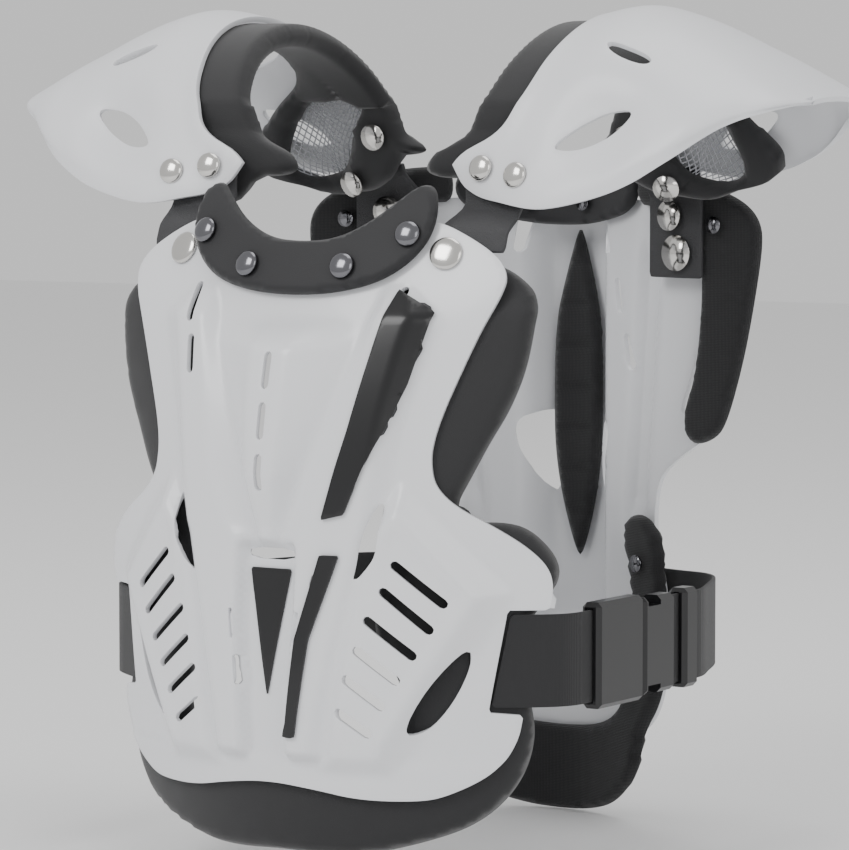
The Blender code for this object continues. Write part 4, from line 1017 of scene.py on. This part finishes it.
def net(name, surface, lift, mirror):
    """Diamond net: a slanted grid whose edges become threads."""
    cell = NET_CELL
    low = window_loop.min(axis=0)
    high = window_loop.max(axis=0)
    i, j = np.meshgrid(np.arange(-60, 60), np.arange(-60, 60), indexing="ij")
    u = (i + j) * cell / 2 + (low[0] + high[0]) / 2
    v = (i - j) * cell / 2 / DEGREE + (low[1] + high[1]) / 2
    centre_u = u[:-1, :-1] + cell / 2
    centre_v = v[:-1, :-1]
    keep = contains(window_loop, centre_u.ravel(), centre_v.ravel())
    number = np.arange(u.size).reshape(u.shape)
    quads = np.stack([number[:-1, :-1], number[1:, :-1], number[1:, 1:],
                      number[:-1, 1:]], axis=-1).reshape(-1, 4)[keep]
    used, quads = np.unique(quads, return_inverse=True)
    quads = quads.reshape(-1, 4)
    points = offset(surface, u.ravel()[used], v.ravel()[used],
                    np.full(len(used), lift))
    if mirror:
        points, quads = mirrored_points(points, quads)
    piece = make(name, points, quads, NET)
    wires = piece.modifiers.new("threads", "WIREFRAME")
    wires.thickness = NET_THREAD
    return piece


strap_middle = CAP_TAB + STRAP_PAST_TAB
strap_top = CAP_TOP - CAP_DROP + STRAP_UNDER_CAP
half_width = STRAP_WIDTH / 2
for side, mirror in (("left", False), ("right", True)):
    cap = shell("cap_shell_" + side, cap_surface, cap_loop, cap_holes,
                CAP_WALL, CAP_WHITE, 0.0032, scale=DEGREE, mirror=mirror)
    place(cap, ["shoulder_cap_" + side])
    pad = pillow("shoulder_foam_" + side, pad_surface, pad_loop,
                 [window_loop], FOAM, PAD_WALL, 0.0035, scale=DEGREE,
                 round_edge=0.007, crown=0.001, mirror=mirror)
    place(pad, ["shoulder_pad_" + side])
    panel = net("shoulder_net_" + side, pad_surface, -NET_DEPTH * PAD_WALL,
                mirror)
    place(panel, ["shoulder_mesh_" + side])
    strap = shell("front_band_" + side, front_strap_surface,
                  rectangle(strap_middle - half_width,
                            strap_middle + half_width,
                            PLATE_TOP - FRONT_STRAP_DROP, strap_top),
                  [], STRAP_WALL, GRAIN, 0.003, mirror=mirror)
    place(strap, ["front_strap_" + side])
    middle = strap_middle + REAR_STRAP_OUT
    strap = shell("rear_band_" + side, rear_strap_surface,
                  rectangle(-middle - half_width, -middle + half_width,
                            BACK_TOP - REAR_STRAP_DROP, strap_top),
                  [], STRAP_WALL, GRAIN, 0.003, mirror=mirror)
    place(strap, ["rear_strap_" + side])
print("shoulder pieces done")

# %% [markdown]
# ## Trim strips and label field
#
# Thin walls on the plate's own relief, on the wearer's left and the middle.

# %% Trim
fields = (
    ("trim_upper", "trim_strip_upper", TRIM_WALL, BLACK,
     ((0.445, 0.122), (0.590, 0.160), (0.520, 0.280), (0.330, 0.505),
      (0.242, 0.515), (0.330, 0.360))),
    ("trim_lower", "trim_strip_lower", TRIM_WALL, BLACK,
     ((0.240, 0.575), (0.315, 0.575), (0.205, 0.722), (0.152, 0.893),
      (0.112, 0.893), (0.150, 0.722))),
    ("label", "label_field", LABEL_WALL, BLACK,
     ((0.090, 0.605), (0.0, 0.828), (-0.090, 0.605))),
)
for name, node, wall, look, corners in fields:
    loop = rounded([plate_point(*p) for p in corners], 2,
                   range(len(corners)))[::-1]
    strip = shell(name, chest_plate_surface, loop, [], wall, look, 0.002,
                  lift=wall + GAP, lip=0.0004)
    place(strip, [node])
print("trim done")

# %% [markdown]
# ## Waist webbing
#
# Two webs on each side follow one path.  The buckles and sliders are the
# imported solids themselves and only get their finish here.

# %% Waist
runs = [row[0] for row in WAIST_ROWS]
low = WAIST_HEIGHT - WEB_WIDTH / 2
high = WAIST_HEIGHT + WEB_WIDTH / 2
female_end = BUCKLE_START + FEMALE_LENGTH
male_end = female_end + GAP + MALE_LENGTH
starts = np.interp([0.80 * PLATE_HALF + 2 * GAP, 0.86 * PLATE_HALF + 2 * GAP],
                   [row[1] for row in WAIST_ROWS[:4]], runs[:4])
front_web = rounded([(starts[0], low), (runs[6] + 0.011, low),
                     (runs[6] + 0.011, high), (starts[1], high)], 2,
                    (0, 1, 2, 3))
rear_start = runs[9] + (male_end - 0.006) - (BUCKLE_START + 0.020)
rear_web = rectangle(rear_start, runs[-1] - 0.0002, low, high)
for side, mirror in (("left", False), ("right", True)):
    web = shell("front_web_" + side, waist_surface, front_web, [], WEB_WALL,
                WEB, 0.003, lip=0.0005, mirror=mirror)
    place(web, ["waist_strap_front_" + side])
    web = shell("rear_web_" + side, waist_surface, rear_web, [], WEB_WALL,
                WEB, 0.003, lip=0.0005, mirror=mirror)
    place(web, ["waist_strap_rear_" + side])
for name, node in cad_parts.items():
    if name.startswith(("buckle", "strap_slider")):
        for number in range(len(node.material_slots)):
            node.material_slots[number].material = BLACK
print("webbing done")

# %% [markdown]
# ## Rivets and screws
#
# Each head is turned about the middle of the solid that it stands for.


# %% Heads
def head_place(node):
    """Centre and axis of a flat turned solid, from its points."""
    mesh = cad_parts[node].data
    points = np.zeros(len(mesh.vertices) * 3)
    mesh.vertices.foreach_get("co", points)
    points = np.unique(points.reshape(-1, 3).round(6), axis=0)
    centre = points.mean(axis=0)
    _, _, ways = np.linalg.svd(points - centre)
    axis = ways[2]
    reach = (points - centre) @ axis
    return centre, axis, reach.min(), reach.max(), points


def dome(radius, height):
    """Quarter ellipse with a small straight foot."""
    turn = np.linspace(0.0, math.pi / 2, 12)
    rows = [(radius * math.sin(t), 0.25 * height + 0.75 * height
             * math.cos(t)) for t in turn]
    return rows + [(radius, 0.0), (0.0, 0.0)]


def rolled(radius, height, bore):
    """A rolled washer round a sunk centre."""
    turn = np.linspace(0.0, math.pi, 14)
    middle = (radius + bore) / 2
    half = (radius - bore) / 2
    rows = [(0.0, 0.25 * height), (bore, 0.25 * height)]
    rows += [(middle - half * math.cos(t), 0.3 * height + 0.7 * height
              * math.sin(t)) for t in turn]
    return rows + [(radius, 0.0), (0.0, 0.0)]


def narrow(radius, height):
    """Washer with a small sunk centre."""
    return rolled(radius, height, 0.4 * radius)


def wide(radius, height):
    """Washer with a wide sunk centre."""
    return rolled(radius, height, 0.6 * radius)


# Stem of the node names, finish, profile, 1 for a head that faces the front.
HEADS = (
    ("cap_rivet", STEEL, dome, 1, "chrome"),
    ("pad_washer", STEEL, narrow, -1, "chrome"),
    ("plate_screw", STEEL, dome, 1, "chrome"),
    ("collar_dome", DARK, dome, 1, "dark_metal"),
    ("rear_disc", STEEL, wide, -1, "chrome"),
    ("eyelet", STEEL, wide, -1, "chrome"),
    ("side_rivet", DARK, dome, -1, "dark_metal"),
    ("hip_rivet", DARK, dome, -1, "dark_metal"),
    ("back_collar_rivet", DARK, dome, -1, "dark_metal"),
)
count = 0
for node in sorted(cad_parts):
    for stem, look, profile, facing, slot_name in HEADS:
        if not node.startswith(stem):
            continue
        centre, axis, low_reach, high_reach, points = head_place(node)
        front = -1.0 if facing > 0 else 1.0
        if axis[1] * front < 0:
            axis, low_reach, high_reach = -axis, -high_reach, -low_reach
        if "rear" in node and stem == "cap_rivet":
            axis, low_reach, high_reach = -axis, -high_reach, -low_reach
        spread = points - centre
        spread = spread - np.outer(spread @ axis, axis)
        radius = np.linalg.norm(spread, axis=1).max()
        made = turned(node + "_head", profile(radius, high_reach - low_reach),
                      centre + axis * low_reach, axis, look)
        place(made, [node])
        count += 1
print("heads:", count)

# %% [markdown]
# ## Floor, light and camera
#
# A pale floor just under the lowest point, three soft boxes, and a long lens
# at the angle of the photograph.

# %% Studio
floor_mesh = bpy.data.meshes.new("studio_floor")
reach = 6.0
level = before[0][2] - 0.0005
floor_mesh.from_pydata(
    [(-reach, -reach, level), (reach, -reach, level), (reach, reach, level),
     (-reach, reach, level)], [], [(0, 1, 2, 3)])
floor = bpy.data.objects.new("studio_floor", floor_mesh)
bpy.context.scene.collection.objects.link(floor)
floor_mesh.materials.append(material("pale floor", "#F2F2F2", 0.9))

world = bpy.data.worlds.new("studio")
bpy.context.scene.world = world
world.use_nodes = True
world.node_tree.nodes["Background"].inputs["Color"].default_value = (
    1.0, 1.0, 1.0, 1.0)
world.node_tree.nodes["Background"].inputs["Strength"].default_value = 0.75


def soft_box(name, location, size, power):
    light = bpy.data.lights.new(name, "AREA")
    light.shape = "RECTANGLE"
    light.size = size[0]
    light.size_y = size[1]
    light.energy = power
    made = bpy.data.objects.new(name, light)
    bpy.context.scene.collection.objects.link(made)
    made.location = location
    aim = Vector((0.0, 0.0, -0.2)) - made.location
    made.rotation_euler = aim.to_track_quat("-Z", "Y").to_euler()


soft_box("key", (-0.6, -2.4, 1.6), (1.4, 1.4), 40.0)
soft_box("fill", (2.6, -1.2, 0.8), (1.6, 1.6), 16.0)
soft_box("top", (0.2, 0.4, 2.4), (1.8, 1.8), 22.0)

camera = bpy.data.cameras.new("camera")
camera.sensor_width = 36.0
camera.lens = 191.4
eye = bpy.data.objects.new("camera", camera)
bpy.context.scene.collection.objects.link(eye)
eye.location = (1.3613, -2.1786, -0.0266)
aim = Vector((0.0, 0.0, -0.218)) - eye.location
eye.rotation_euler = aim.to_track_quat("-Z", "Y").to_euler()
bpy.context.scene.camera = eye
print("studio ready")
